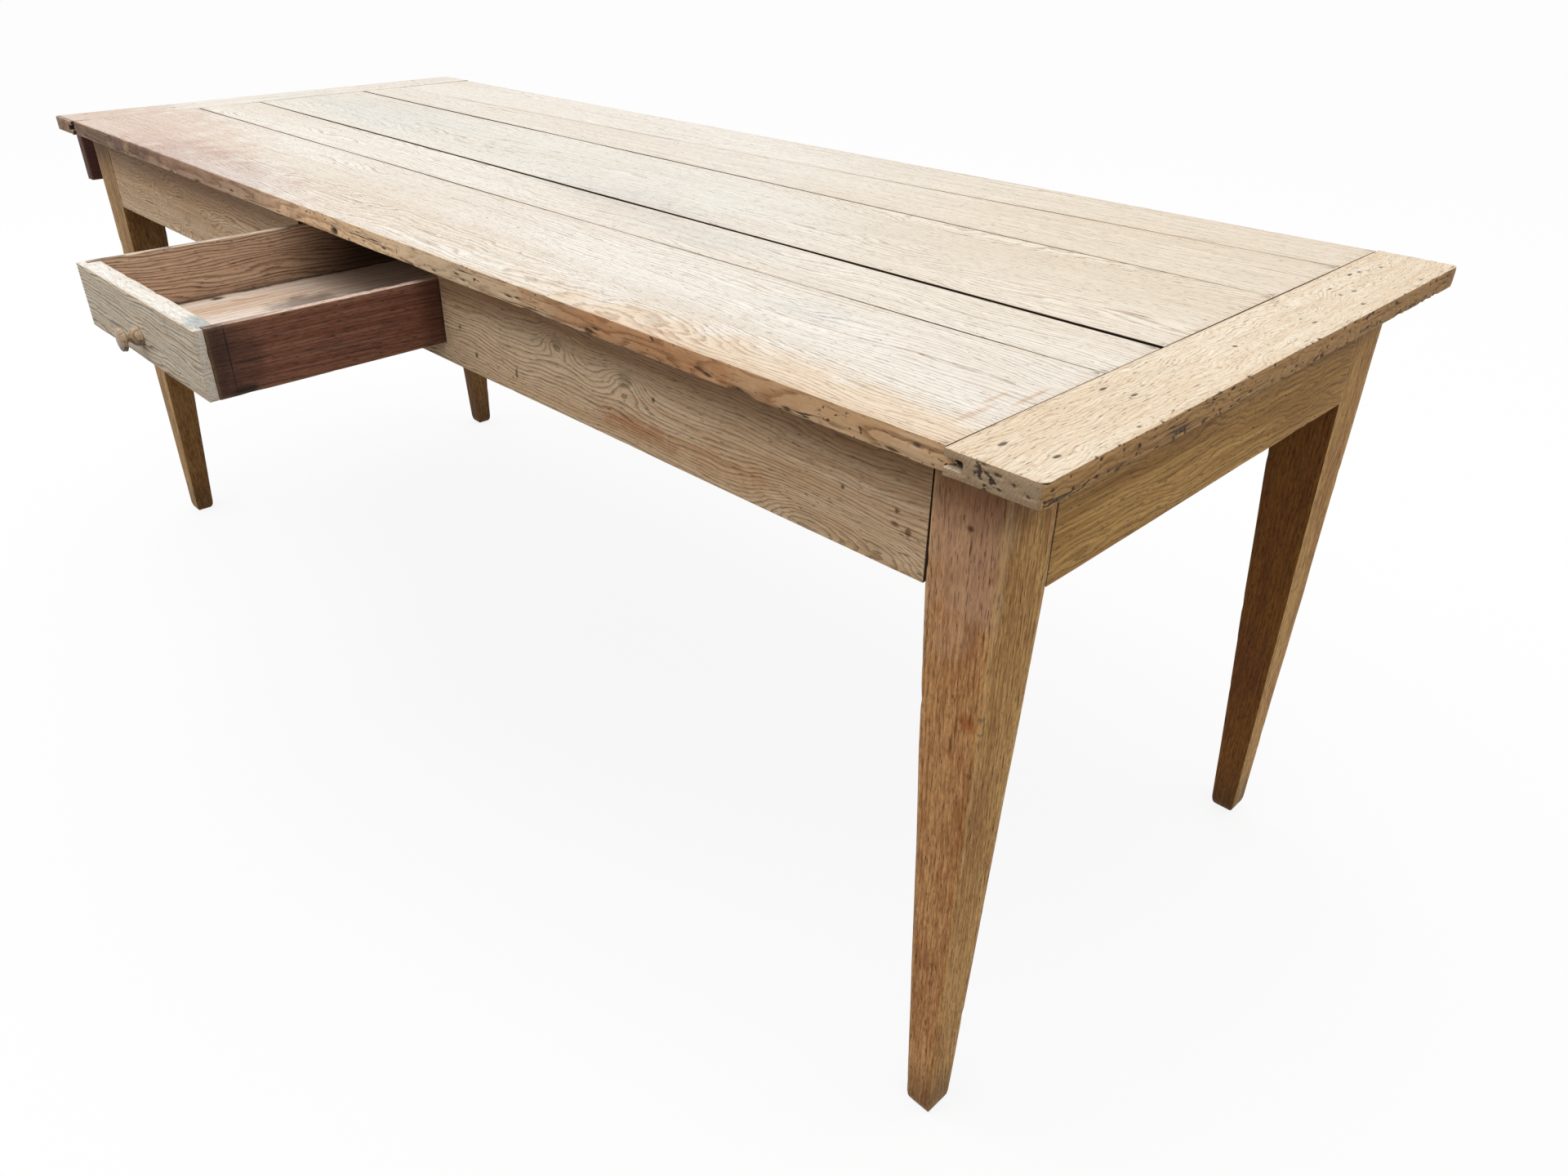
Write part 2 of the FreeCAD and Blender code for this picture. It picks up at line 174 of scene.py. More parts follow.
def in_any(block_list, x, y, z):
    """Whether each place lies in one of some boxes."""
    found = np.zeros(np.broadcast(x, y, z).shape, bool)
    for low, high in block_list:
        inside = np.ones_like(found)
        for axis, value in enumerate((x, y, z)):
            inside &= (value > low[axis]) & (value < high[axis])
        found |= inside
    return found


def carve(adds, cuts, steps, roundness):
    """Corners, quads and each quad's axis, for the skin of some boxes less some others."""
    low = np.min([b[0] for b in adds], axis=0)
    high = np.max([b[1] for b in adds], axis=0)
    lines = []
    for axis in range(3):
        ends = {float(np.clip(end[axis], low[axis], high[axis])) for b in adds + cuts for end in b}
        stops = np.array(sorted(ends))
        stops = stops[np.concatenate([[True], np.diff(stops) > least_gap])]
        lines.append(graded(stops, steps[axis], roundness))
    middles = [(v[1:] + v[:-1]) / 2 for v in lines]
    x, y, z = np.meshgrid(*middles, indexing="ij")
    solid = np.pad(in_any(adds, x, y, z) & ~in_any(cuts, x, y, z), 1)
    shape = tuple(len(v) for v in lines)
    quads = []
    axes = []
    for axis in range(3):
        trim = [slice(1, -1)] * 3
        trim[axis] = slice(None)
        change = np.diff(solid.astype(int), axis=axis)[tuple(trim)]
        u, v = (axis + 1) % 3, (axis + 2) % 3
        for way in (1, -1):
            places = np.argwhere(change == way)
            loop = []
            for along_u, along_v in ((0, 0), (1, 0), (1, 1), (0, 1)):
                corner = places.copy()
                corner[:, u] += along_u
                corner[:, v] += along_v
                loop.append(np.ravel_multi_index(corner.T, shape))
            quads.append(np.stack(loop[::-1] if way == 1 else loop, 1))
            axes.append(np.full(len(places), axis))
    used, flat = np.unique(np.concatenate(quads), return_inverse=True)
    corners = np.stack(np.meshgrid(*lines, indexing="ij"), -1).reshape(-1, 3)[used]
    return corners, flat.reshape(-1, 4), np.concatenate(axes)


def edge_distance(points, quads, axes):
    """How far each corner lies from the nearest edge of its board."""
    touched = np.zeros((len(points), 3), bool)
    for axis in range(3):
        touched[quads[axes == axis].ravel(), axis] = True
    sharp = points[touched.sum(1) > 1]
    tree = kdtree.KDTree(len(sharp))
    for index, place in enumerate(sharp):
        tree.insert(place, index)
    tree.balance()
    return np.array([tree.find(place)[2] for place in points])


def soften(points, quads, weight):
    """Corners moved towards the middle of their neighbours, each by its own weight."""
    pairs = np.concatenate([quads[:, [0, 1]], quads[:, [1, 2]], quads[:, [2, 3]], quads[:, [3, 0]]])
    pairs = np.unique(np.sort(pairs, axis=1), axis=0)
    start = np.concatenate([pairs[:, 0], pairs[:, 1]])
    end = np.concatenate([pairs[:, 1], pairs[:, 0]])
    count = np.bincount(start, minlength=len(points))[:, None]
    for _ in range(soften_rounds):
        total = np.stack([np.bincount(start, points[end, k], len(points)) for k in range(3)], 1)
        points = points + weight[:, None] * (total / count - points)
    return points


def normals(points, quads):
    """The outward direction at each corner."""
    a, b, c, d = (points[quads[:, k]] for k in range(4))
    flat = np.cross(c - a, d - b)
    total = np.zeros_like(points)
    for k in range(4):
        for axis in range(3):
            total[:, axis] += np.bincount(quads[:, k], flat[:, axis], len(points))
    return total / np.maximum(np.linalg.norm(total, axis=1, keepdims=True), least_area)


def smooth_step(low, high, value):
    """0 below low, 1 above high and a smooth rise between."""
    share = np.clip((value - low) / (high - low), 0, 1)
    return share * share * (3 - 2 * share)


def weather(points, out, distance, wear, seed):
    """Worn corners, and how deep each lies in a pit, from 0 to 1."""
    edge = 1 - smooth_step(0, wear["edge_reach"], distance)
    for axis, low, high in wear["spared"]:
        edge = edge * smooth_step(low, high, points[:, axis])
    wave = wear["wave"] * noise(points / wear["wave_length"], seed)
    broad_share, fine_share, all_share = chip_noise_shares
    broken = broad_share * noise(points / wear["chip_length"], seed + 1)
    broken += fine_share * noise(points / (wear["chip_length"] / 4), seed + 2)
    chips = smooth_step(wear["chip_from"], 1, broken + all_share)
    scuff = wear["scuff"] * (0.5 + 0.5 * noise(points / wear["scuff_length"], seed + 3))
    depth = edge * (wear["chip"] * chips + scuff)
    pit_share = np.zeros(len(points))
    for centre, radii, deep in wear["pits"]:
        reach = np.linalg.norm((points - np.array(centre)) / np.array(radii), axis=1)
        bowl = np.clip(1 - reach ** 2, 0, 1)
        depth += deep * bowl
        pit_share = np.maximum(pit_share, bowl)
    dirt = np.maximum(pit_share, wear["chip_dirt"] * edge * chips)
    return points + out * (wave - depth)[:, None], dirt


base_wear = {
    "wave": 0.00035, "wave_length": 0.16, "edge_reach": 0.004, "scuff": 0.0006, "scuff_length": 0.05,
    "chip": 0.0012, "chip_from": 0.55, "chip_length": 0.03, "chip_dirt": 0.35, "spared": (), "pits": (),
}


def worn(**changes):
    """The usual wear with some of its values changed."""
    return {**base_wear, **changes}


# Pieces

def build_piece(node, points, quads, fields, material):
    """A mesh in place of a part of the frame, with its grain and wear kept on its corners."""
    mesh = bpy.data.meshes.new(node + "_worn")
    mesh.from_pydata(points.tolist(), [], quads.tolist())
    for name, values in fields.items():
        kind, key = ("FLOAT_VECTOR", "vector") if values.ndim == 2 else ("FLOAT", "value")
        field = mesh.attributes.new(name, kind, "POINT")
        field.data.foreach_set(key, values.astype(np.float32).ravel())
    mesh.shade_smooth()
    mesh.materials.append(material)
    piece = bpy.data.objects.new(node + "_worn", mesh)
    bpy.context.scene.collection.objects.link(piece)
    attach(piece, body_of_node[node])
    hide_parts(node)
    return piece


grain_axes = {"x": (0, 1, 2), "y": (1, 0, 2), "z": (2, 0, 1)}


def grain_field(points, axis, pith, tilt, seed):
    """Places in the tree that a board was cut from: along it, and two ways out from its pith."""
    along, across, deep = grain_axes[axis]
    middle = (points.min(0) + points.max(0)) / 2
    local = points - middle
    spread = np.array((tree_step, 0.0, 0.0)) * seed
    field = np.stack([local[:, along], local[:, across] - pith[0], local[:, deep] - pith[1]], 1) + spread
    field[:, 1] += tilt[0] * local[:, along]
    field[:, 2] += tilt[1] * local[:, along]
    return field


def board(node, adds, material, cuts=(), steps=(0.012, 0.008, 0.006), roundness=0.0012, grain="x",
          pith=(0.3, -0.12), tilt=(0.0, 0.02), seed=1, wear=base_wear, shape=None, grimy=()):
    """A worn board made of boxes less some cuts, shaped, and put in place of a part of the frame."""
    points, quads, axes = carve(list(adds), list(cuts), steps, roundness)
    distance = edge_distance(points, quads, axes)
    points = soften(points, quads, 1 - smooth_step(roundness, 3 * roundness, distance))
    if shape:
        points = shape(points)
    out = normals(points, quads)
    points, pit = weather(points, out, distance, wear, seed)
    points[:, 2] = np.maximum(points[:, 2], min(b[0][2] for b in adds))
    bleach = smooth_step(*bleached_range, out[:, 2])
    end = smooth_step(*end_grain_range, np.abs(out[:, grain_axes[grain][0]]))
    # Faces turned the given ways are darkened: grime, and painted shade in seams, joints and on the legs'
    # inner faces
    grime = np.zeros(len(points))
    for share, direction in grimy:
        facing = smooth_step(1.1 - 0.9 * share, 1.15 - 0.2 * share, out @ np.array(direction))
        grime = np.maximum(grime, share * facing)
    fields = {
        "grain": grain_field(points, grain, pith, tilt, seed),
        "edge": 1 - smooth_step(0, wear["edge_reach"], distance),
        "pit": pit,
        "skin": np.stack([bleach, end, grime], 1),
    }
    build_piece(node, points, quads, fields, material)


def box_between(x, y, z):
    """A box from its range along each axis, whichever way each range runs."""
    pairs = [sorted(v) for v in (x, y, z)]
    return (np.array([p[0] for p in pairs]), np.array([p[1] for p in pairs]))


# Materials

class Graph:
    """The nodes of a material or of the world, made by short calls."""

    def __init__(self, owner):
        self.owner = owner
        owner.use_nodes = True
        self.nodes = owner.node_tree.nodes
        self.links = owner.node_tree.links
        self.nodes.clear()

    def node(self, kind, inputs=(), **settings):
        """A node with its settings, and its inputs linked or set."""
        made = self.nodes.new("ShaderNode" + kind)
        for key, value in settings.items():
            setattr(made, key, value)
        for key, value in dict(inputs).items():
            if isinstance(value, bpy.types.NodeSocket):
                self.links.new(value, made.inputs[key])
            else:
                made.inputs[key].default_value = value
        return made

    def math(self, operation, a, b=0.0):
        return self.node("Math", {0: a, 1: b}, operation=operation).outputs[0]

    def times(self, a, b):
        return self.math("MULTIPLY", a, b)

    def plus(self, a, b):
        return self.math("ADD", a, b)

    def less(self, a, b):
        return self.math("SUBTRACT", a, b)

    def vector(self, operation, a, b=(0, 0, 0)):
        made = self.node("VectorMath", {0: a, 1: b}, operation=operation)
        return made.outputs["Value" if operation == "LENGTH" else "Vector"]

    def reach(self, place, centre, radii):
        """How far a place lies from a centre, in units of some radii."""
        return self.vector("LENGTH", self.vector("DIVIDE", self.vector("SUBTRACT", place, centre), radii))

    def field(self, name, output="Fac"):
        return self.node("Attribute", attribute_name=name).outputs[output]

    def place(self):
        return self.node("TexCoord").outputs["Object"]

    def noise(self, vector, scales, detail=2.0, roughness=0.5):
        """Noise from 0 to 1 with its own number of grains to the metre along each axis."""
        scaled = self.vector("MULTIPLY", vector, scales)
        inputs = {"Vector": scaled, "Scale": 1.0, "Detail": detail, "Roughness": roughness}
        return self.node("TexNoise", inputs).outputs["Fac"]

    def waver(self, vector, scales, detail=2.0, roughness=0.5):
        """Noise from -0.5 to 0.5."""
        return self.less(self.noise(vector, scales, detail, roughness), 0.5)

    def rise(self, value, low, high, to_low=0.0, to_high=1.0):
        """A smooth rise of one value over the range of another."""
        inputs = {"Value": value, "From Min": low, "From Max": high, "To Min": to_low, "To Max": to_high}
        return self.node("MapRange", inputs, interpolation_type="SMOOTHSTEP").outputs["Result"]

    def mix(self, share, a, b, blend="MIX"):
        """Two colours mixed by a share."""
        inputs = {0: share, 6: a, 7: b}
        return self.node("Mix", inputs, data_type="RGBA", blend_type=blend).outputs[2]

    def tint(self, colour, share, amount, tint, blend="MIX"):
        """A colour with a tint laid on it by a share of an amount."""
        return self.mix(self.times(share, amount), colour, tint, blend)

    def finish(self, shader, output="OutputMaterial"):
        self.node(output, {"Surface": shader})
        return self.owner

    def surface(self, colour, rough, height, bump, depth, others):
        """The finished material, from its colour, roughness, bumps and other inputs."""
        normal = self.node("Bump", {"Strength": bump, "Distance": depth, "Height": height}).outputs["Normal"]
        inputs = {"Base Color": colour, "Roughness": rough, "Normal": normal, **others}
        return self.finish(self.node("BsdfPrincipled", inputs).outputs[0])


def rgb(red, green, blue):
    """A colour given as the eye sees it, from 0 to 255, in linear light."""
    parts = [v / 255 for v in (red, green, blue)]
    return tuple(p / 12.92 if p <= 0.04045 else ((p + 0.055) / 1.055) ** 2.4 for p in parts) + (1.0,)


def blot(g, place, centre, radii, ragged):
    """1 at the middle of a blot on the wood and 0 outside it, with a ragged rim."""
    return g.rise(g.plus(g.reach(place, centre, radii), ragged), 0.35, 1.15, 1.0, 0.0)


# Grains of each noise to the metre, along the grain and across it, or along X, Y and Z
ragged_scales = (24.0, 24.0, 24.0)
slow_scales = (1.5, 7.0, 7.0)
calm_scales = (1.3, 6.0, 6.0)
quick_scales = (20.0, 110.0, 110.0)
streak_scales = (2.2, 75.0, 75.0)
speckle_scales = (160.0, 520.0, 520.0)
weave_scales = ((0.0, 900.0, 160.0), (0.0, 160.0, 900.0))
crack_scales = (4.5, 120.0, 120.0)
cracked_scales = (6.0, 30.0, 30.0)
hole_scales = (130.0, 130.0, 190.0)
holed_scales = (26.0, 26.0, 40.0)
rust_scales = (400.0, 400.0, 400.0)

base_look = {
    "light": rgb(247, 239, 229), "dark": rgb(236, 223, 207), "ring": rgb(198, 176, 152),
    "aged": rgb(255, 255, 255), "pore": rgb(100, 76, 58), "pit": rgb(48, 34, 24), "grime": rgb(40, 28, 20),
    "end": rgb(168, 146, 120), "edge": rgb(206, 170, 126), "edge_share": 0.2,
    "ring_width": 0.0042, "ring_share": 0.7, "side_ring_share": 0.0, "calm_top": 0.0,
    "wander": 0.03, "swirl": 0.012, "swirl_scales": (6.0, 22.0, 22.0), "wiggle": 0.0018, "calm": 0.25,
    "pore_share": 0.6, "pore_scales": (75.0, 1150.0, 1150.0),
    "fleck_share": 0.65, "fleck_from": 0.67, "fleck_scales": (95.0, 720.0, 720.0), "speckle": 0.16,
    "fine_share": 0.25, "fine_scales": (7.0, 260.0, 260.0), "cloud_scales": (1.8, 8.0, 8.0),
    "crack_share": 0.0, "crack_from": 0.52, "hole_share": 0.0, "roughness": 0.62, "bump": 0.4,
    "knots": (), "blots": (), "shades": (), "shade_above": False,
}


def oak(name, **changes):
    """Old oak: growth rings round the pith, open pores along the grain, stains, cracks, worn edges and
    painted shade.
    """
    look = {**base_look, **changes}
    g = Graph(bpy.data.materials.new(name))
    grain = g.field("grain", "Vector")
    place = g.place()
    skin = g.node("SeparateXYZ", {0: g.field("skin", "Vector")}).outputs
    aged = g.less(1.0, skin["X"])
    ragged = g.waver(place, ragged_scales, 4.0, 0.62)

    # Growth rings, bent by wandering and swirling and round the knots
    slow = g.waver(grain, slow_scales, 1.0)
    calm = g.rise(g.noise(grain, calm_scales, 1.0), 0.36, 0.6, look["calm"], 1.0)
    swirl = g.times(g.waver(grain, look["swirl_scales"]), calm)
    quick = g.waver(grain, quick_scales)
    streaks = g.noise(grain, streak_scales, 3.0, 0.6)
    bends = (
        (slow, look["wander"]), (swirl, look["swirl"]), (quick, look["wiggle"]),
        (g.less(streaks, 0.5), 2.2 * look["ring_width"]),
    )
    radius = g.vector("LENGTH", g.vector("MULTIPLY", grain, (0, 1, 1)))
    for bend, amount in bends:
        radius = g.plus(radius, g.times(bend, amount))
    heart = 0.0
    for centre, radii, push, dark in look["knots"]:
        reach = g.plus(g.reach(place, centre, radii), g.times(ragged, 0.3))
        swell = g.math("POWER", math.e, g.times(g.times(reach, reach), -1.0))
        radius = g.plus(radius, g.times(swell, push))
        heart = g.math("MAXIMUM", heart, g.times(g.rise(swell, 0.8, 0.98), dark))
    turns = g.math("DIVIDE", radius, look["ring_width"])
    share = g.math("FRACT", turns)
    number = g.math("FLOOR", turns)
    strength = g.node("TexWhiteNoise", {"W": number}, noise_dimensions="1D").outputs["Value"]
    early = g.times(g.rise(share, 0.0, 0.07), g.rise(share, 0.1, 0.6, 1.0, 0.0))
    early = g.times(early, g.plus(0.45, g.times(strength, 0.55)))
    early = g.times(early, g.rise(skin["X"], 0.0, 1.0, 1.0, 1.0 - look["calm_top"]))

    # Pores and flecks along the grain, thickest in the early wood
    pores = g.rise(g.noise(grain, look["pore_scales"], 1.0), 0.46, 0.7)
    pores = g.times(pores, g.plus(0.3, g.times(early, 0.7)))
    fleck_noise = g.noise(grain, look["fleck_scales"], 1.0)
    flecks = g.rise(fleck_noise, look["fleck_from"], look["fleck_from"] + 0.05)
    cloud = g.noise(grain, look["cloud_scales"], 3.0)
    fine = g.waver(grain, look["fine_scales"])
    tone = g.plus(g.times(streaks, 0.55), g.times(cloud, 0.65))
    tone = g.plus(tone, g.times(fine, look["fine_share"]))

    # The wood's colour, then its end grain, its stains, its tints and painted shade, and its worn edges
    colour = g.mix(g.rise(tone, 0.42, 0.8), look["light"], look["dark"])
    side_share = look["ring_share"] + look["side_ring_share"]
    colour = g.tint(colour, early, g.rise(aged, 0.0, 1.0, look["ring_share"], side_share), look["ring"])
    speckle = g.rise(g.noise(grain, speckle_scales, 3.0, 0.7), 0.35, 0.75)
    colour = g.tint(colour, speckle, look["speckle"], look["ring"])
    colour = g.mix(aged, colour, look["aged"], "MULTIPLY")
    across, upward = (g.noise(grain, scales, 2.0, 0.6) for scales in weave_scales)
    weave = g.rise(g.plus(across, upward), 0.85, 1.2, 0.45, 0.85)
    colour = g.tint(colour, skin["Y"], weave, look["end"])
    for blend, tint, centre, radii, share in look["blots"]:
        stain = blot(g, place, centre, radii, g.times(ragged, 1.7))
        colour = g.tint(colour, stain, share, tint, blend)
    # Broad tints, some of them painted shade under the top's overhang and inside the side drawer
    for tint, centre, radii, share in look["shades"]:
        shade = blot(g, place, centre, radii, 0.0)
        if look["shade_above"]:
            shade = g.times(shade, skin["X"])
        colour = g.tint(colour, shade, share, tint, "MULTIPLY")
    colour = g.tint(colour, g.field("edge"), look["edge_share"], look["edge"])
    colour = g.tint(colour, pores, look["pore_share"], look["pore"])
    colour = g.tint(colour, flecks, look["fleck_share"], look["pore"])
    colour = g.mix(heart, colour, look["pit"])

    # Drying cracks along the grain and worm holes in the edges, only here and there
    height = g.times(g.plus(pores, flecks), -0.5)
    if look["crack_share"]:
        ridge = g.math("ABSOLUTE", g.waver(grain, crack_scales))
        cracked = g.noise(grain, cracked_scales, 1.0)
        somewhere = g.rise(cracked, look["crack_from"], look["crack_from"] + 0.1)
        cracks = g.times(g.rise(ridge, 0.005, 0.015, 1.0, 0.0), g.times(somewhere, aged))
        cracks = g.times(cracks, g.less(1.0, skin["Y"]))
        colour = g.tint(colour, cracks, look["crack_share"], look["pit"])
        height = g.less(height, g.times(cracks, 2.0))
    if look["hole_share"]:
        holes = g.rise(g.noise(place, hole_scales), 0.6, 0.68)
        somewhere = g.rise(g.noise(place, holed_scales, 1.0), 0.45, 0.62)
        holes = g.times(holes, g.times(somewhere, aged))
        colour = g.tint(colour, holes, look["hole_share"], look["pit"])
        height = g.less(height, g.times(holes, 2.5))
    pit = g.rise(g.plus(g.field("pit"), g.times(ragged, 0.4)), 0.3, 0.75)
    colour = g.tint(colour, pit, 0.85, look["pit"])
    # Grime and painted shade, on the faces that the board darkens
    colour = g.mix(skin["Z"], colour, look["grime"], "MULTIPLY")

    height = g.less(height, g.times(early, 0.3))
    rough = g.plus(look["roughness"], g.times(pores, 0.2))
    return g.surface(colour, rough, height, look["bump"], 0.0008, {"Specular IOR Level": 0.3})


def iron(name):
    """Rusted iron."""
    g = Graph(bpy.data.materials.new(name))
    rust = g.noise(g.place(), rust_scales, 4.0, 0.6)
    colour = g.mix(g.rise(rust, 0.4, 0.65), rgb(46, 40, 37), rgb(104, 66, 42))
    rough = g.rise(rust, 0.3, 0.7, 0.45, 0.85)
    return g.surface(colour, rough, rust, 0.4, 0.0005, {"Metallic": 0.6})


# Stains, knots and painted shade

side_low, side_high = boxes["side_drawer_right_side"]
side_middle = (side_low[2] + side_high[2]) / 2
drawer_floor = boxes["side_drawer_bottom_left"][1][2]
mouth = boxes["front_apron"][0][1]
near_face = boxes["leg_front_right"][1][0]

# Faces that stains lie on: a place to measure from, the two axes measured along, and the reach through it.
# The arris is the near leg's outer corner, where a stain reaches as far through as across
stain_faces = {
    "top": ((*table_middle.xy, table_height), 0, 1, 0.03),
    "front_edge": ((table_middle.x, front_edge, top_middle), 0, 2, 0.004),
    "front": ((table_middle.x, mouth, 0.0), 0, 2, 0.012),
    "arris": ((near_face, mouth, 0.0), 0, 2, None),
    "drawer_side": ((side_high[0], side_low[1], side_middle), 1, 2, 0.03),
    "drawer_floor": ((*table_middle.xy, drawer_floor), 0, 1, 0.01),
}


def on(face, a, b, wide, high):
    """A place on a face and a reach there."""
    origin, across, up, through = stain_faces[face]
    place = list(origin)
    place[across] += a
    place[up] += b
    reach = [through or wide] * 3
    reach[across] = wide
    reach[up] = high
    return tuple(place), tuple(reach)


def stains(blend, face, rows):
    """Stains on one face: rows of a tint, a place with its reach and a share."""
    return tuple((blend, rgb(*tint), *on(face, *place), share) for tint, place, share in rows)


# A hole in the top's front edge over the side drawer
hole_place = (table_middle.x + 0.004, front_edge, top_underside + 0.006)

edge_brown = (226, 192, 160)
top_blots = (
    *stains("MULTIPLY", "front_edge", (
        ((168, 164, 168), (-0.95, 0.0, 0.5, 0.03), 0.95),
        ((226, 220, 224), (-0.45, 0.0, 0.45, 0.03), 0.8),
    )),
    *stains("MIX", "front_edge", (((250, 226, 190), (0.22, 0.0, 0.24, 0.03), 0.45),)),
    *stains("MULTIPLY", "front_edge", (((232, 206, 190), (0.58, 0.0, 0.2, 0.03), 0.8),)),
    *stains("MULTIPLY", "top", (
        ((240, 222, 217), (-0.8233, -0.3415, 0.46, 0.17), 0.85),
        ((236, 227, 230), (-0.42, -0.3715, 0.36, 0.08), 0.85),
        ((246, 234, 222), (0.0168, -0.3215, 0.36, 0.08), 0.4),
        ((236, 239, 243), (0.1368, -0.0645, 0.2, 0.05), 0.6),
        ((238, 241, 245), (0.3767, -0.1215, 0.16, 0.04), 0.5),
        ((240, 243, 245), (-0.6833, 0.0535, 0.34, 0.11), 0.5),
        ((236, 241, 247), (0.6477, -0.2365, 0.06, 0.03), 0.45),
        ((247, 228, 206), (0.7568, -0.3765, 0.46, 0.055), 0.8),
        ((222, 186, 178), (0.5917, -0.3735, 0.044, 0.004), 0.5),
        (edge_brown, (0.9077, -0.3215, 0.005, 0.03), 0.5),
        (edge_brown, (0.8998, -0.2865, 0.003, 0.024), 0.5),
        (edge_brown, (0.9187, -0.2585, 0.003, 0.034), 0.6),
    )),
    ("MIX", rgb(58, 40, 30), hole_place, (0.010, 0.004, 0.006), 0.85),
)
top_knots = (
    (*on("top", 0.5807, 0.0985, 0.26, 0.052), 0.05, 0.0),
    (*on("top", 0.5567, -0.3325, 0.12, 0.034), 0.03, 0.0),
    (*on("top", 0.1368, -0.2865, 0.24, 0.06), 0.035, 0.0),
    (*on("top", -0.2933, -0.0365, 0.24, 0.06), 0.045, 0.0),
)
front_knots = (
    (*on("front", 0.4078, 0.697, 0.026, 0.018), 0.02, 0.3),
    (*on("front", 0.5198, 0.687, 0.03, 0.022), 0.022, 0.3),
    (*on("front", 0.7678, 0.628, 0.06, 0.026), 0.03, 0.1),
    (*on("front", 0.8538, 0.632, 0.04, 0.016), 0.02, 0.1),
    (*on("front", -0.5873, 0.649, 0.036, 0.022), 0.024, 0.2),
    (*on("front", -0.6973, 0.688, 0.024, 0.018), 0.02, 0.2),
)
rust_red, worm_dark = (116, 56, 32), (52, 36, 26)
front_blots = (
    *stains("MULTIPLY", "front", (
        ((214, 176, 152), (0.5288, 0.641, 0.07, 0.014), 0.8),
        ((226, 196, 170), (0.6567, 0.64, 0.09, 0.018), 0.5),
    )),
    *stains("MIX", "front", (
        (rust_red, (0.8648, 0.672, 0.003, 0.004), 0.8),
        (rust_red, (0.8638, 0.66, 0.006, 0.0035), 0.8),
        (rust_red, (0.8778, 0.657, 0.0035, 0.005), 0.8),
        (worm_dark, (0.8067, 0.673, 0.003, 0.003), 0.8),
        (worm_dark, (0.2167, 0.668, 0.003, 0.003), 0.8),
        (worm_dark, (0.2467, 0.642, 0.003, 0.003), 0.8),
        (worm_dark, (0.3267, 0.641, 0.0025, 0.006), 0.7),
        (worm_dark, (0.5627, 0.679, 0.003, 0.003), 0.8),
    )),
)
slit, dent, bare = (92, 46, 22), (46, 26, 15), (240, 214, 182)
leg_blots = (
    *stains("MIX", "front", (((236, 200, 174), (0.935, 0.675, 0.07, 0.11), 0.5),)),
    *stains("MULTIPLY", "front", (((206, 164, 120), (0.954, 0.508, 0.011, 0.010), 0.8),)),
    *stains("MIX", "front", (
        (slit, (0.936, 0.683, 0.004, 0.003), 0.8),
        (slit, (0.9385, 0.667, 0.0014, 0.014), 0.8),
        (slit, (0.938, 0.528, 0.002, 0.004), 0.8),
        (slit, (0.941, 0.478, 0.002, 0.013), 0.8),
        (slit, (0.963, 0.457, 0.006, 0.003), 0.5),
        (slit, (0.951, 0.133, 0.002, 0.006), 0.7),
    )),
    *stains("MIX", "arris", (
        (dent, (0.0, 0.519, 0.004, 0.003), 0.85),
        (dent, (0.0, 0.503, 0.004, 0.002), 0.8),
        (dent, (0.0, 0.703, 0.0016, 0.028), 0.9),
        (bare, (0.0, 0.429, 0.0025, 0.012), 0.85),
        (bare, (0.0, 0.366, 0.0022, 0.014), 0.85),
    )),
)

# A dark stain, cracks and a notch by the side drawer's right front corner, and painted shade at its mouth, at
# its back and on its floor
crack_black = (20, 16, 14)
corner_blots = (
    *stains("MULTIPLY", "drawer_side", (
        ((142, 144, 148), (0.0, 0.0, 0.062, 0.09), 0.62),
        ((106, 112, 118), (0.0, 0.0, 0.026, 0.09), 0.6),
    )),
    *stains("MIX", "drawer_side", (
        (crack_black, (0.019, 0.006, 0.0012, 0.05), 0.9),
        (crack_black, (0.045, -0.004, 0.045, 0.0012), 0.8),
        ((16, 13, 12), (0.026, side_low[2] - side_middle, 0.018, 0.009), 0.95),
    )),
)
# Painted shade at the drawer's mouth, at its back and on its floor, where little light reaches
mouth_shade = (rgb(120, 98, 86), *on("drawer_side", mouth - side_low[1], 0.0, 0.03, 0.2), 0.6)
back_shade = (rgb(92, 84, 76), (table_middle.x, mouth + 0.13, side_middle), (0.9, 0.165, 0.5), 0.95)
floor_shade = (*back_shade[:3], 0.62)

# Stains on the side drawer's floor, with painted shade along its left side, and on the end of its front
left_low, left_high = boxes["side_drawer_left_side"]
bottom_blots = (
    *stains("MULTIPLY", "drawer_floor", (
        ((150, 142, 140), (-0.059, -0.415, 0.032, 0.06), 0.8),
        ((204, 176, 150), (-0.10, -0.52, 0.03, 0.2), 0.3),
    )),
    *stains("MIX", "drawer_floor", (((38, 26, 19), (-0.146, -0.486, 0.007, 0.011), 0.9),)),
    # Painted shade in the corner where the floor meets the left side
    ("MULTIPLY", rgb(70, 58, 50), (left_high[0], side_low[1], left_low[2]), (0.010, 2.0, 0.03), 0.9),
)
front_end = boxes["side_drawer_front"][1] - np.array((0.02, 0.008, 0.0))
front_end_blots = (("MULTIPLY", rgb(186, 200, 210), tuple(front_end), (0.034, 0.02, 0.006), 0.8),)

# The cooler third plank and the yellower near end of the planks behind it
third_plank = (rgb(250, 253, 255), *on("top", -0.2, 0.03, 1.0, 0.13), 0.9)
near_planks = (rgb(251, 244, 233), *on("top", 0.9, 0.2, 0.7, 0.4), 0.9)
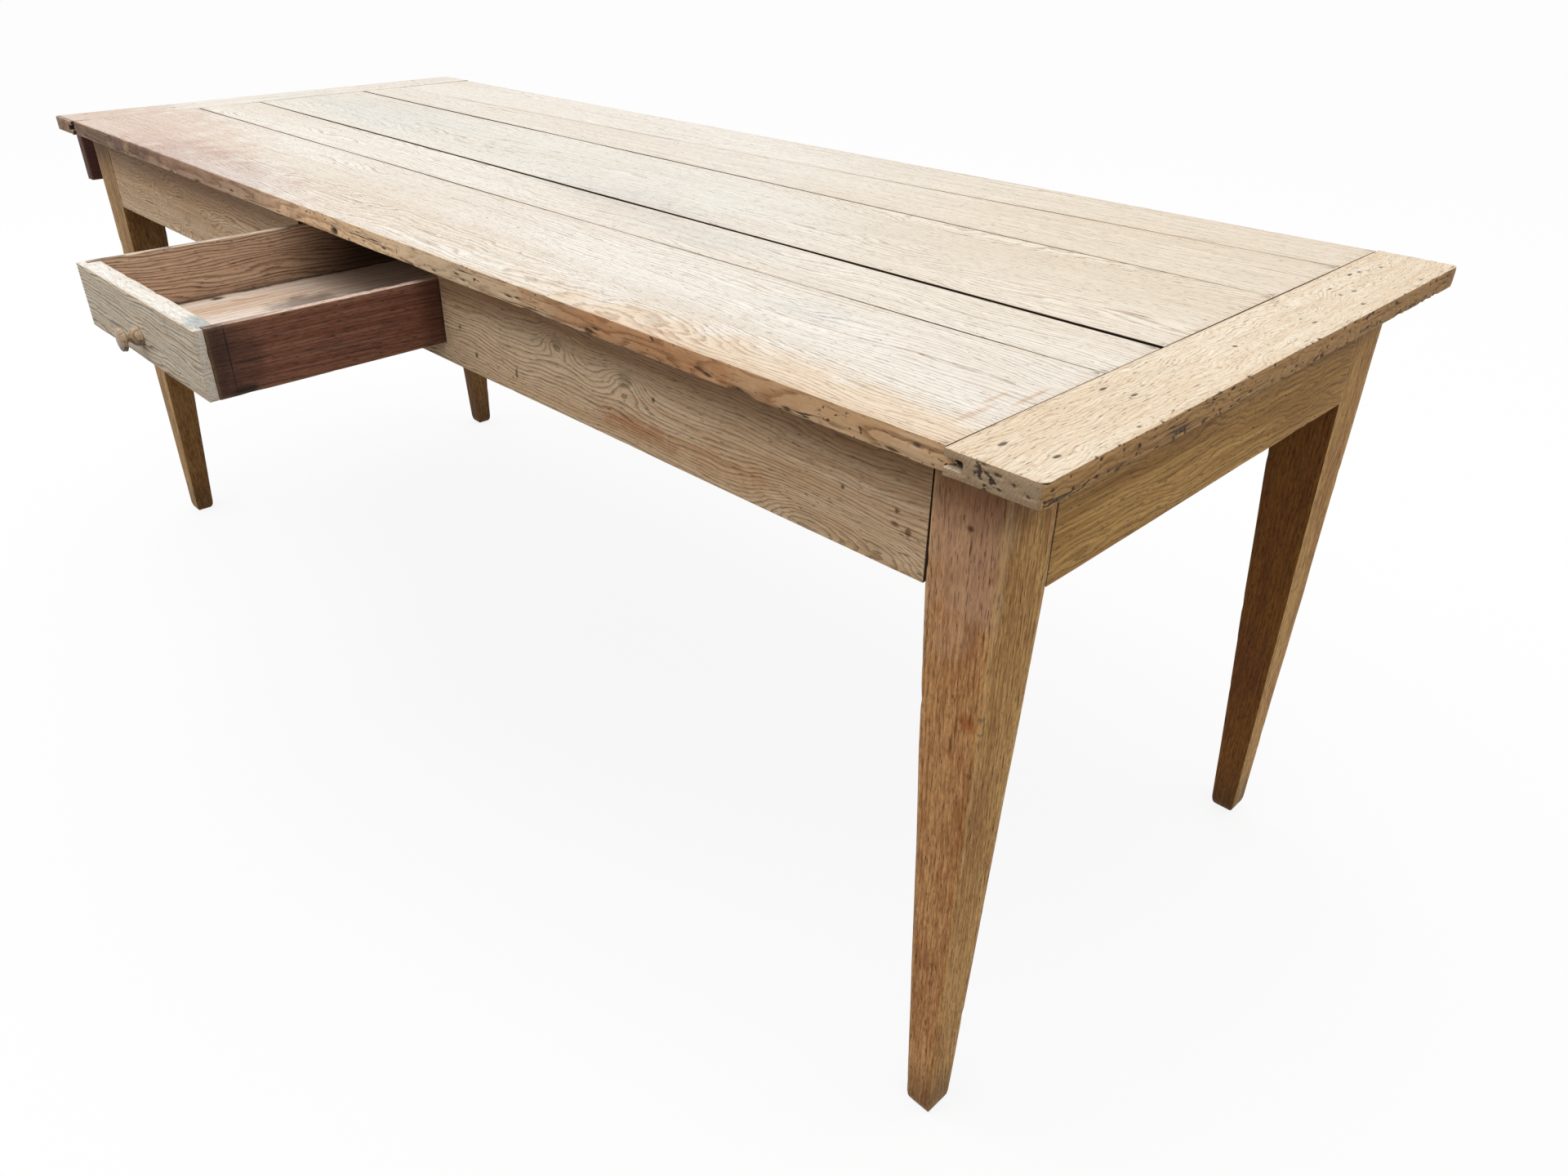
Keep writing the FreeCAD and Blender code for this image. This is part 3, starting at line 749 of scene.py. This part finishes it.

# The near leg's redder front and yellower side, dirty feet, duller far legs, and painted shade under the
# top's overhang on the aprons and legs
endless = 30.0
far_leg, near_leg = boxes["front_apron"][0][0], boxes["front_apron"][1][0]
near_front = (rgb(248, 238, 228), (near_leg, mouth, 0.0), (0.3, 0.007, endless), 1.0)
near_side = (rgb(248, 251, 226), (near_face, table_middle.y, 0.0), (0.007, endless, endless), 1.0)
foot_dirt = (rgb(190, 190, 182), tuple(table_middle), (endless, endless, 0.075), 0.8)
far_legs = (rgb(236, 245, 240), (far_leg, table_middle.y, 0.0), (0.4, endless, endless), 1.0)
# Painted shade under the top's overhang, darkest by its underside
overhang_shade = (rgb(150, 126, 100), (*table_middle.xy, top_underside), (endless, endless, 0.06), 0.75)

# Colours of each kind of board
oaks = {
    "top": oak(
        "oak_top", light=rgb(251, 246, 236), dark=rgb(241, 232, 218), ring=rgb(190, 168, 142),
        aged=rgb(241, 213, 181), ring_width=0.0048, ring_share=0.64, side_ring_share=0.3,
        swirl=0.05, swirl_scales=(4.5, 15.0, 15.0), calm=0.45, crack_share=0.95, crack_from=0.47,
        hole_share=0.9, fine_share=0.35, pore_share=0.5, fleck_share=0.7, fleck_from=0.68,
        knots=top_knots, blots=top_blots, shades=(third_plank, near_planks)),
    "breadboard": oak(
        "oak_breadboard", light=rgb(253, 240, 218), dark=rgb(239, 217, 187), ring=rgb(188, 155, 117),
        aged=rgb(206, 174, 128), end=rgb(184, 166, 144), ring_width=0.0034, ring_share=0.4,
        side_ring_share=0.3, swirl=0.06, swirl_scales=(14.0, 26.0, 26.0), fine_share=0.5,
        fine_scales=(24.0, 240.0, 240.0), crack_share=0.95, crack_from=0.46, hole_share=1.0,
        speckle=0.3, pore_share=0.45, fleck_share=0.75),
    "apron": oak(
        "oak_apron", light=rgb(255, 226, 188), dark=rgb(224, 182, 138), ring=rgb(120, 82, 50),
        pore=rgb(64, 45, 30), ring_share=0.58, swirl=0.05, swirl_scales=(9.0, 20.0, 20.0), calm=0.4,
        fine_share=0.45, knots=front_knots, blots=front_blots, shades=(overhang_shade,)),
    # The legs' darkening colour, on their inner faces, is painted shade with some dirt
    "leg": oak(
        "oak_leg", light=rgb(248, 195, 136), dark=rgb(192, 136, 85), ring=rgb(126, 80, 44),
        pore=rgb(66, 38, 20), grime=rgb(162, 136, 80), edge=rgb(255, 216, 164), edge_share=0.35,
        ring_width=0.0036, ring_share=0.28, swirl=0.008, wander=0.02, pore_share=0.9,
        pore_scales=(85.0, 850.0, 850.0), speckle=0.5, fine_share=0.9, fine_scales=(36.0, 400.0, 400.0),
        cloud_scales=(6.0, 24.0, 24.0), blots=leg_blots,
        shades=(overhang_shade, near_front, near_side, foot_dirt, far_legs)),
    "end_apron": oak(
        "oak_end_apron", light=rgb(234, 186, 112), dark=rgb(186, 137, 70), ring=rgb(104, 66, 28),
        pore=rgb(62, 38, 18), ring_width=0.0052, ring_share=0.55, swirl=0.04,
        swirl_scales=(9.0, 24.0, 24.0), calm=0.5, fine_share=0.7, fleck_from=0.65,
        cloud_scales=(4.0, 18.0, 18.0), shades=(overhang_shade,)),
    "front": oak(
        "oak_drawer_front", light=rgb(255, 251, 243), dark=rgb(241, 230, 213), ring=rgb(92, 72, 52),
        aged=rgb(254, 246, 232), pore=rgb(66, 49, 36), end=rgb(246, 238, 226), swirl=0.05, calm=0.5,
        ring_share=0.78, fine_share=0.6, calm_top=0.75, blots=front_end_blots),
    "end_front": oak(
        "oak_end_drawer_front", light=rgb(116, 76, 70), dark=rgb(94, 57, 52), ring=rgb(72, 42, 38),
        pore=rgb(44, 26, 24), end=rgb(98, 64, 58)),
    "side_pale": oak(
        "oak_side_pale", light=rgb(248, 234, 219), dark=rgb(224, 204, 185), ring=rgb(122, 96, 76),
        aged=rgb(232, 212, 194), pore=rgb(52, 36, 27), ring_width=0.005, ring_share=1.0, swirl=0.04,
        calm=0.5, fine_share=0.6, shades=(back_shade,)),
    "side_dark": oak(
        "oak_side_dark", light=rgb(236, 212, 196), dark=rgb(196, 160, 142), ring=rgb(140, 100, 82),
        aged=rgb(174, 136, 116), pore=rgb(34, 20, 15), ring_share=0.6, wander=0.06, swirl=0.01,
        speckle=0.4, fine_share=1.0, fleck_from=0.64, crack_share=0.6, blots=corner_blots,
        shades=(mouth_shade,)),
    "bottom": oak(
        "pine_drawer_bottom", light=rgb(255, 247, 236), dark=rgb(244, 219, 193), ring=rgb(184, 138, 102),
        pore_share=0.2, fleck_share=0.3, ring_width=0.006, swirl=0.03, fine_share=0.6,
        blots=bottom_blots, shades=(floor_shade,), shade_above=True),
    "gear": oak("pine_gear", light=rgb(186, 150, 112), dark=rgb(156, 120, 86), ring=rgb(124, 88, 58)),
    # The turned knob is darkened underneath as painted shade
    "knob": oak(
        "turned_knob", light=rgb(220, 196, 166), dark=rgb(194, 162, 128), ring=rgb(138, 104, 74),
        roughness=0.32, grime=rgb(120, 92, 70)),
}


# Top

def plank_edges(node):
    """A plank's two edges at its far end and at its near end, from the frame."""
    corners = np.array([v.co for v in frame["nodes"][node].data.vertices])
    middle = (corners[:, 0].min() + corners[:, 0].max()) / 2
    far = corners[corners[:, 0] < middle]
    near = corners[corners[:, 0] > middle]
    return (far[:, 1].min(), far[:, 1].max()), (near[:, 1].min(), near[:, 1].max())


plank_names = ("front", "second", "third", "fourth", "back")


def plank(name, seed, pith, tilt, wear, grimy):
    """A plank of the top, tapered, with a tongue at both ends."""
    node = "top_plank_" + name
    low, high = boxes[node]
    number = plank_names.index(name)
    far, near = plank_edges(node)
    shoulder = (low[0] + tongue_length, high[0] - tongue_length)
    width = (far[1] - far[0] + near[1] - near[0]) / 2
    tongue = (top_middle - tongue_thickness / 2, top_middle + tongue_thickness / 2)
    adds = [
        box_between(shoulder, (0, width), (top_underside, table_height)),
        box_between((low[0], high[0]), (0, width), tongue),
    ]

    def worn_back(seam, share):
        at_far, at_near, change = seams[seam]
        return at_far + (at_near - at_far) * share ** change

    def taper(points):
        share = np.clip((points[:, 0] - shoulder[0]) / (shoulder[1] - shoulder[0]), 0, 1)
        side = points[:, 1] / width
        start = far[0] + share * (near[0] - far[0])
        end = far[1] + share * (near[1] - far[1])
        if name != "front":
            start = start + worn_back(plank_names[number - 1], share)
        if name != "back":
            end = end - worn_back(name, share)
        return np.stack([points[:, 0], start + side * (end - start), points[:, 2]], 1)

    board(node, adds, oaks["top"], steps=(0.012, 0.010, 0.005), roundness=0.0009, seed=seed, pith=pith,
          tilt=tilt, wear=wear, shape=taper, grimy=grimy)


def breadboard(node, way, seed, wear, look):
    """A cross board at an end of the top, grooved over the planks' tongues, with rounded outer corners."""
    low, high = boxes[node]
    outer, inner = faces(node, 0, way)
    groove_half = tongue_thickness / 2 + fit_clearance
    groove_end = inner + way * (breadboard_gap + tongue_length + fit_clearance)
    groove_z = (top_middle - groove_half, top_middle + groove_half)
    groove = box_between((inner, groove_end), (low[1], high[1]), groove_z)
    inset = breadboard_corner_radius

    def round_corners(points):
        centre_x = outer - way * inset
        centre_y = np.clip(points[:, 1], low[1] + inset, high[1] - inset)
        past_x = np.maximum((points[:, 0] - centre_x) * way, 0) * way
        offset = np.stack([past_x, points[:, 1] - centre_y], 1)
        square = np.abs(offset).max(1)
        length = np.linalg.norm(offset, axis=1)
        share = np.where(length > tiny, square / np.maximum(length, tiny), 1.0)
        moved = points.copy()
        corner = (np.abs(offset) > tiny).all(1)
        moved[corner, 0] = centre_x + (offset[:, 0] * share)[corner]
        moved[corner, 1] = (centre_y + offset[:, 1] * share)[corner]
        return moved

    # Its inner face, in the joint with the planks, is darkened with grime and painted shade
    board(node, [(low, high)], oaks[look], cuts=[groove], steps=(0.004, 0.002, 0.0016), roundness=0.0016,
          grain="y", seed=seed, pith=(0.2, -0.12), wear=wear, shape=round_corners,
          grimy=((0.8, (-way, 0, 0)),))


def scattered(count, seed, low, high, least, most, shallow, deep):
    """Pits strewn over a box, each with its own reach and depth."""
    dice = np.random.default_rng(seed)
    pits = []
    for _ in range(count):
        centre = np.array(low) + dice.random(3) * (np.array(high) - np.array(low))
        radii = np.array(least) + dice.random(3) * (np.array(most) - np.array(least))
        pits.append((centre, radii, dice.uniform(shallow, deep)))
    return pits


def edge_pits(node, way):
    """Worm holes and knocks along a breadboard's outer edge and its front end, and dents in its top."""
    low, high = boxes[node]
    outer, inner = faces(node, 0, way)
    least, most = (0.004, 0.0018, 0.0012), (0.006, 0.006, 0.0028)
    edge_rows = (
        (60, 5, low[2], low[2] + 0.007, 0.0006, 0.0013),
        (26, 6, high[2] - 0.006, high[2], 0.0006, 0.0016),
        (30, 7, low[2], high[2], 0.0008, 0.0018),
    )
    pits = []
    for count, seed, bottom, top, shallow, deep in edge_rows:
        start, end = (outer, low[1], bottom), (outer, high[1], top)
        pits += scattered(count, seed, start, end, least, most, shallow, deep)
    start, end = (outer - way * 0.06, low[1], low[2] + 0.004), (outer, low[1], high[2] - 0.002)
    pits += scattered(14, 8, start, end, (0.0014, 0.004, 0.0012), (0.004, 0.006, 0.0026), 0.0008, 0.002)
    start, end = (inner + way * 0.012, low[1] + 0.03, high[2]), (outer - way * 0.004, high[1] - 0.03, high[2])
    pits += scattered(16, 12, start, end, (0.0022, 0.003, 0.003), (0.003, 0.009, 0.004), 0.0005, 0.001)
    return pits


# Knocks in the top's front edge: places from the table's middle and the underside, reaches and depths
knock_rows = (
    (0.716, 0.0, (0.010, 0.012, 0.006), 0.006),
    (0.512, 0.003, (0.012, 0.006, 0.005), 0.002),
    (0.901, 0.013, (0.006, 0.006, 0.003), 0.002),
)
hole_reach = (0.008, 0.006, 0.006)
hole_depth = 0.002
corner_knock_reach = (0.014, 0.012, 0.007)
corner_knock_depth = 0.007
worm_start, worm_end = -0.85, 0.95
worm_height = 0.008

# The wear of the top's long edges, and how far in from them it fades and ends
edge_wear = {"wave": 0.0005, "edge_reach": 0.006, "chip": 0.0013, "scuff": 0.0007}
edge_fade, edge_end = 0.02, 0.03


def front_edge_pits():
    """Knocks, a hole and worm holes in the top's front edge, and its broken ends."""
    pits = []
    for x, z, reach, deep in knock_rows:
        pits.append(((table_middle.x + x, front_edge, top_underside + z), reach, deep))
    pits.append((hole_place, hole_reach, hole_depth))
    for end in boxes["top_plank_front"]:
        pits.append(((end[0], front_edge, top_middle), corner_knock_reach, corner_knock_depth))
    start = (worm_start, front_edge, top_underside)
    end = (worm_end, front_edge, top_underside + worm_height)
    return pits + scattered(30, 9, start, end, (0.003, 0.004, 0.001), (0.012, 0.006, 0.003), 0.0006, 0.002)


def make_top():
    # Shares of darkening on the planks' sides: grime and painted shade in the seams between them and at their
    # ends by the breadboards
    dark, brown = 1.0, 0.8
    ends = [(brown, (1, 0, 0)), (brown, (-1, 0, 0))]
    front_side = (0, -1, 0)
    back_side = (0, 1, 0)
    back_edge = boxes["top_plank_back"][1][1]
    calm = worn(chip=0.0, scuff=0.0001)
    front_wear = worn(**edge_wear, pits=front_edge_pits(),
                      spared=((1, front_edge + edge_end, front_edge + edge_fade),))
    back_wear = worn(**edge_wear, spared=((1, back_edge - edge_end, back_edge - edge_fade),))
    plank("front", 1, (0.30, -0.10), (0.012, 0.02), front_wear, [*ends, (dark, back_side)])
    plank("second", 2, (0.26, -0.05), (0.0, 0.01), calm, [*ends, (dark, front_side), (dark, back_side)])
    plank("third", 3, (-0.25, -0.08), (-0.02, 0.03), calm, [*ends, (dark, front_side), (dark, back_side)])
    plank("fourth", 7, (0.24, -0.09), (0.0, 0.02), calm, [*ends, (dark, front_side), (brown, back_side)])
    plank("back", 4, (0.28, -0.07), (0.0, 0.02), back_wear, [*ends, (brown, front_side)])
    for node, way, seed, look in (("breadboard_near", 1, 5, "breadboard"), ("breadboard_far", -1, 6, "top")):
        inner = faces(node, 0, way)[1]
        wear = worn(wave=0.0006, edge_reach=0.006, chip=0.0014, chip_from=0.5, chip_length=0.022,
                    scuff=0.0007, pits=edge_pits(node, way),
                    spared=((0, inner + way * 0.004, inner + way * 0.012),))
        breadboard(node, way, seed, wear, look)


# Frame

def tenon_span(face, way):
    """The two cheeks of a tenon, in from an outer face."""
    return (face - way * tenon_setback, face - way * (tenon_setback + tenon_thickness))


def leg(node, seed):
    """A leg that tapers on its two inner faces, mortised for the aprons, with a rounded foot."""
    low, high = boxes[node]
    way_x = 1 if "right" in node else -1
    way_y = 1 if "back" in node else -1
    outer_x, inner_x = faces(node, 0, way_x)
    outer_y, inner_y = faces(node, 1, way_y)
    apron_bottom = top_underside - apron_height
    tenon_z = (apron_bottom + tenon_lower_shoulder - fit_clearance,
               top_underside - tenon_upper_shoulder + fit_clearance)
    deep = tenon_length + fit_clearance
    along = box_between((inner_x, inner_x + way_x * deep), tenon_span(outer_y, way_y), tenon_z)
    across = box_between(tenon_span(outer_x, way_x), (inner_y, inner_y + way_y * deep), tenon_z)

    def taper(points):
        share = np.clip((apron_bottom - points[:, 2]) / (apron_bottom - low[2]), 0, 1)
        drop = np.clip(1 - (points[:, 2] - low[2]) / foot_round_height, 0, 1)
        inset = foot_round_inset * (1 - np.sqrt(1 - drop ** 2))
        moved = points.copy()
        for axis, way, outer, foot in ((0, way_x, outer_x, foot_width), (1, way_y, outer_y, foot_depth)):
            scale = 1 - share * (1 - foot / (high[axis] - low[axis]))
            tapered = outer + (points[:, axis] - outer) * scale
            centre = outer - way * foot / 2
            moved[:, axis] = centre + (tapered - centre) * (1 - 2 * inset / foot)
        return moved

    cuts = [along] if way_x < 0 else [along, across]
    # The inner faces, under the table, are darkened as painted shade with some dirt
    board(node, [(low, high)], oaks["leg"], cuts=cuts, steps=(0.006, 0.006, 0.009), roundness=0.0013,
          grain="z", seed=seed, pith=(0.26, 0.22), tilt=(0.02, 0.01),
          wear=worn(wave=0.0007, edge_reach=0.006, scuff=0.001), shape=taper,
          grimy=((0.75, (-way_x, 0, 0)), (1.0, (0, -way_y, 0))))


def tenoned(node, axis, shoulder, tenon_across, tenon_z, look, **finish):
    """An apron or a rail along an axis, with a tenon at both ends."""
    body = np.array(boxes[node])
    body[0][axis] += tenon_length + shoulder
    body[1][axis] -= tenon_length + shoulder
    ranges = list(zip(*boxes[node]))
    ranges[1 - axis] = tenon_across
    ranges[2] = tenon_z
    board(node, [tuple(body), box_between(*ranges)], oaks[look], **finish)


def make_frame():
    for seed, node in enumerate(("leg_front_right", "leg_back_right", "leg_front_left", "leg_back_left")):
        leg(node, 10 + seed)
    drawer_low, drawer_high = boxes["side_drawer_front"]
    apron_low, apron_high = boxes["front_apron"]
    opening = box_between((drawer_low[0] - drawer_side_clearance, drawer_high[0] + drawer_side_clearance),
                          (apron_low[1], apron_high[1]), (apron_low[2] + rail_height, apron_high[2]))
    tenon_z = (apron_low[2] + tenon_lower_shoulder, apron_high[2] - tenon_upper_shoulder)
    wear = worn(wave=0.0005)
    # The aprons' ends, in the shoulder joints at the legs, are darkened with grime and painted shade
    for node, way, seed, cuts in (("front_apron", -1, 20, [opening]), ("back_apron", 1, 21, [])):
        across = tenon_span(faces(node, 1, way)[0], way)
        tenoned(node, 0, shoulder_gap, across, tenon_z, "apron", cuts=cuts, steps=(0.010, 0.006, 0.006),
                roundness=0.0008, seed=seed, pith=(0.06, 0.3), tilt=(0.01, 0.02), wear=wear,
                grimy=((0.8, (1, 0, 0)), (0.8, (-1, 0, 0))))
    # The end apron's ends, at the legs, are darkened likewise with grime and painted shade
    across = tenon_span(boxes["near_end_apron"][1][0], 1)
    tenoned("near_end_apron", 1, end_shoulder_gap, across, tenon_z, "end_apron", steps=(0.006, 0.010, 0.006),
            roundness=0.0008, grain="y", seed=22, pith=(0.06, -0.3), wear=wear,
            grimy=((0.4, (0, 1, 0)), (0.4, (0, -1, 0))))

    low, high = boxes["end_rail"]
    middle = (low[2] + high[2]) / 2
    across = (low[0] + tenon_setback, low[0] + tenon_setback + 2 * tenon_thickness)
    rail_z = (middle - rail_tenon_thickness / 2, middle + rail_tenon_thickness / 2)
    tenoned("end_rail", 1, end_shoulder_gap, across, rail_z, "leg", steps=(0.008, 0.012, 0.006), grain="y",
            seed=23)


def solid_boxes(node):
    """The box of each separate solid in a node of the frame."""
    work = bmesh.new()
    work.from_mesh(frame["nodes"][node].data)
    bmesh.ops.remove_doubles(work, verts=work.verts, dist=least_gap)
    left = set(work.verts)
    found = []
    while left:
        group = set()
        queue = [left.pop()]
        while queue:
            vert = queue.pop()
            group.add(vert)
            for edge in vert.link_edges:
                other = edge.other_vert(vert)
                if other in left:
                    left.remove(other)
                    queue.append(other)
        places = np.array([v.co for v in group])
        found.append((places.min(0), places.max(0)))
    work.free()
    return sorted(found, key=lambda b: tuple(b[0].round(4)))


def make_gear():
    gear_wear = worn(wave=0.0, scuff=0.0004)
    for seed, node in enumerate(sorted(n for n in boxes if slot_of_node[n] == "carcass")):
        grain = "y" if node.startswith("side_drawer") else "x"
        steps = (0.012, 0.03, 0.012) if grain == "y" else (0.03, 0.012, 0.012)
        board(node, solid_boxes(node), oaks["gear"], steps=steps, roundness=0.0008, grain=grain,
              seed=30 + seed, wear=gear_wear)


# Drawers, made in the drawer's own frame: its front looks along -Y

def make_drawer(name, turn, seed, front_oak, left_oak, right_oak):
    """A drawer's boards, with laps, rebates and sockets, turned about Z into its place."""
    spin = np.array(Matrix.Rotation(turn, 3, "Z"))

    def local(node):
        ends = np.array(boxes[name + "_" + node]) @ spin
        return (ends.min(0), ends.max(0))

    def place(points):
        return points @ spin.T

    front_low, front_high = local("front")
    left_low, left_high = local("left_side")
    right_low, right_high = local("right_side")
    floor_top = left_low[2] + drawer_bottom_thickness
    inner = (left_high[0], right_low[0])
    wide = (left_low[0] - fit_clearance, right_high[0] + fit_clearance)
    whole = front_high[0] - front_low[0] < right_high[0] - left_low[0] + drawer_side_thickness
    socket_top = front_high[2] if whole else left_high[2] + fit_clearance
    socket_y = (front_high[1] - drawer_lap - fit_clearance, front_high[1])
    grain, crossed = ("y", "x") if turn else ("x", "y")
    sockets = []
    for edge, inside in ((wide[0], inner[0] + fit_clearance), (wide[1], inner[1] - fit_clearance)):
        sockets.append(box_between((edge, inside), socket_y, (front_low[2], socket_top)))
    ledge = box_between(inner, (front_high[1] - drawer_bottom_rebate - fit_clearance, front_high[1]),
                        (front_low[2], floor_top))
    board(name + "_front", [(front_low, front_high)], oaks[front_oak], cuts=sockets + [ledge],
          steps=(0.005, 0.005, 0.004), roundness=0.0014, grain=grain, seed=seed, pith=(0.06, 0.2),
          wear=worn(scuff=0.001), shape=place)

    for side, outward, look in (("left_side", -1, left_oak), ("right_side", 1, right_oak)):
        low, high = local(side)
        inner_x = high[0] if outward < 0 else low[0]
        rebate_x = (inner_x, inner_x + outward * drawer_bottom_rebate)
        rebate = box_between(rebate_x, (low[1], high[1]), (low[2], floor_top))
        board(name + "_" + side, [(low, high)], oaks[look], cuts=[rebate], steps=(0.005, 0.006, 0.005),
              roundness=0.001, grain=crossed, seed=seed + 2 + outward, pith=(0.05, 0.25),
              wear=worn(scuff=0.0003, chip=0.0006), shape=place)

    board(name + "_back", [local("back")], oaks["side_pale"], steps=(0.008, 0.004, 0.006), roundness=0.001,
          grain=grain, seed=seed + 4, shape=place)
    for step, node in enumerate(("bottom_left", "bottom_right")):
        low, high = local(node)
        lip_end = front_high[1]
        lip_x = (max(low[0], inner[0] + fit_clearance), min(high[0], inner[1] - fit_clearance))
        adds = [
            box_between((low[0], high[0]), (lip_end, high[1]), (low[2], high[2])),
            box_between(lip_x, (low[1], lip_end), (low[2], high[2])),
        ]
        board(name + "_" + node, adds, oaks["bottom"], steps=(0.008, 0.008, 0.004), roundness=0.0008,
              grain=crossed, seed=seed + 6 + step, pith=(0.05, -0.06), shape=place)


# A knob's outline: shares of its radius and of its length from the end of its tenon
knob_outline_shares = (
    (0.0, 0.0), (0.41, 0.0), (0.444, 0.02), (0.444, 0.40), (0.77, 0.40), (0.815, 0.41), (0.815, 0.437),
    (0.785, 0.452), (0.763, 0.463), (0.778, 0.485), (0.785, 0.515), (0.763, 0.55), (0.71, 0.585),
    (0.63, 0.622), (0.526, 0.655), (0.422, 0.68), (0.363, 0.70), (0.333, 0.725), (0.333, 0.75),
    (0.356, 0.772), (0.415, 0.795), (0.52, 0.815), (0.667, 0.828), (0.83, 0.833), (0.933, 0.838),
    (0.985, 0.85), (1.0, 0.87), (0.985, 0.888), (0.956, 0.90), (0.933, 0.908), (0.948, 0.918),
    (0.963, 0.932), (0.948, 0.95), (0.904, 0.9625), (0.844, 0.967), (0.807, 0.963), (0.77, 0.97),
    (0.63, 0.983), (0.407, 0.994), (0.185, 1.0), (0.0, 1.0),
)
knob_sides = 56


def make_knob(node, outward):
    """A turned knob with a bead round its face, spun about its own axis."""
    low, high = boxes[node]
    outward = np.array(outward)
    axis = int(np.argmax(np.abs(outward)))
    others = [k for k in range(3) if k != axis]
    radius = (high[2] - low[2]) / 2
    length = high[axis] - low[axis]
    start = (low + high) / 2
    start[axis] = low[axis] if outward[axis] > 0 else high[axis]
    outline = np.array(knob_outline_shares)
    spread = radius * outline[:, :1]
    angles = 2 * math.pi * np.arange(knob_sides) / knob_sides
    rings = np.tile(start, (len(outline), knob_sides, 1)) + outward * outline[:, 1, None, None] * length
    rings[..., others[0]] += spread * np.cos(angles)
    rings[..., others[1]] += spread * np.sin(angles)
    points = rings.reshape(-1, 3)
    number = np.arange(len(points)).reshape(len(outline), knob_sides)
    after = np.roll(number, -1, axis=1)
    quads = np.stack([number[:-1], after[:-1], after[1:], number[1:]], -1).reshape(-1, 4)
    # Painted shade under the knob, darker towards its bottom
    below = smooth_step(0.0, 0.9, (start[2] - points[:, 2]) / radius)
    plain = np.zeros(len(points))
    fields = {"grain": grain_field(points, "y" if axis == 1 else "x", (0.03, 0.01), (0.0, 0.0), 60),
              "edge": plain, "pit": plain, "skin": np.stack([plain, plain, below], 1)}
    piece = build_piece(node, points, quads, fields, oaks["knob"])
    work = bmesh.new()
    work.from_mesh(piece.data)
    bmesh.ops.remove_doubles(work, verts=work.verts, dist=least_gap)
    bmesh.ops.recalc_face_normals(work, faces=work.faces)
    work.to_mesh(piece.data)
    work.free()


def make_drawers():
    make_drawer("side_drawer", 0.0, 50, "front", "side_pale", "side_dark")
    make_drawer("end_drawer", -math.pi / 2, 70, "end_front", "side_dark", "side_dark")
    make_knob("side_drawer_knob", (0.0, -1.0, 0.0))
    make_knob("end_drawer_knob", (-1.0, 0.0, 0.0))
    rust = iron("rusted_iron")
    for node in ("side_drawer_nails", "end_drawer_nails"):
        slots = frame["nodes"][node].data.materials
        slots.clear()
        slots.append(rust)


# Floor, light and camera

white = (1.0, 1.0, 1.0, 1.0)
floor_half = 30.0
floor_glow_share = 0.86
sky_strength = 0.84
lamp_from_middle = Vector((-0.6, -0.8, 4.5))
lamp_size = 5.0
lamp_power = 60.0
camera_reach = 200.0


def make_floor():
    """A pale floor that keeps the table's shadow, and throws back little light."""
    corners = [(x * floor_half, y * floor_half, 0) for x, y in ((-1, -1), (1, -1), (1, 1), (-1, 1))]
    mesh = bpy.data.meshes.new("floor")
    mesh.from_pydata(corners, [], [(0, 1, 2, 3)])
    floor = bpy.data.objects.new("floor", mesh)
    bpy.context.scene.collection.objects.link(floor)
    g = Graph(bpy.data.materials.new("pale_floor"))
    seen = g.node("LightPath").outputs
    direct = g.math("MAXIMUM", seen["Is Camera Ray"], seen["Is Glossy Ray"])
    direct = g.math("MAXIMUM", direct, seen["Is Transmission Ray"])
    bounce = g.node("BsdfDiffuse", {"Color": rgb(66, 56, 44)}).outputs[0]
    shaded = g.node("BsdfDiffuse", {"Color": white}).outputs[0]
    glow = g.node("Emission", {"Color": white, "Strength": 1.0}).outputs[0]
    pale = g.node("MixShader", {0: floor_glow_share, 1: shaded, 2: glow}).outputs[0]
    mesh.materials.append(g.finish(g.node("MixShader", {0: direct, 1: bounce, 2: pale}).outputs[0]))


def make_light():
    """An even white sky, a little dimmer as a light than as it is seen, and a broad lamp overhead."""
    g = Graph(bpy.data.worlds.new("studio"))
    seen = g.node("LightPath").outputs
    direct = g.math("MAXIMUM", seen["Is Camera Ray"], seen["Is Transmission Ray"])
    strength = g.node("MapRange", {"Value": direct, "To Min": sky_strength, "To Max": 1.0}).outputs[0]
    sky = g.node("Background", {"Color": white, "Strength": strength}).outputs[0]
    bpy.context.scene.world = g.finish(sky, "OutputWorld")

    lamp = bpy.data.lights.new("overhead", "AREA")
    lamp.shape = "DISK"
    lamp.size = lamp_size
    lamp.energy = lamp_power
    overhead = bpy.data.objects.new("overhead", lamp)
    overhead.location = table_middle + lamp_from_middle
    overhead.rotation_euler = (table_middle - overhead.location).to_track_quat("-Z", "Y").to_euler()
    bpy.context.scene.collection.objects.link(overhead)


def make_camera():
    lens = bpy.data.cameras.new("camera")
    lens.sensor_width = sensor_width
    lens.lens = focal_pixels / picture_width * sensor_width
    lens.shift_x = (picture_width / 2 - optical_centre[0]) / picture_width
    lens.shift_y = (optical_centre[1] - picture_height / 2) / picture_width
    lens.clip_end = camera_reach
    camera = bpy.data.objects.new("camera", lens)
    camera.location = table_middle + camera_from_middle
    camera.rotation_euler = camera_turn
    bpy.context.scene.collection.objects.link(camera)
    bpy.context.scene.camera = camera


make_top()
make_frame()
make_gear()
make_drawers()
make_floor()
make_light()
make_camera()
bpy.context.scene.view_settings.view_transform = "Standard"
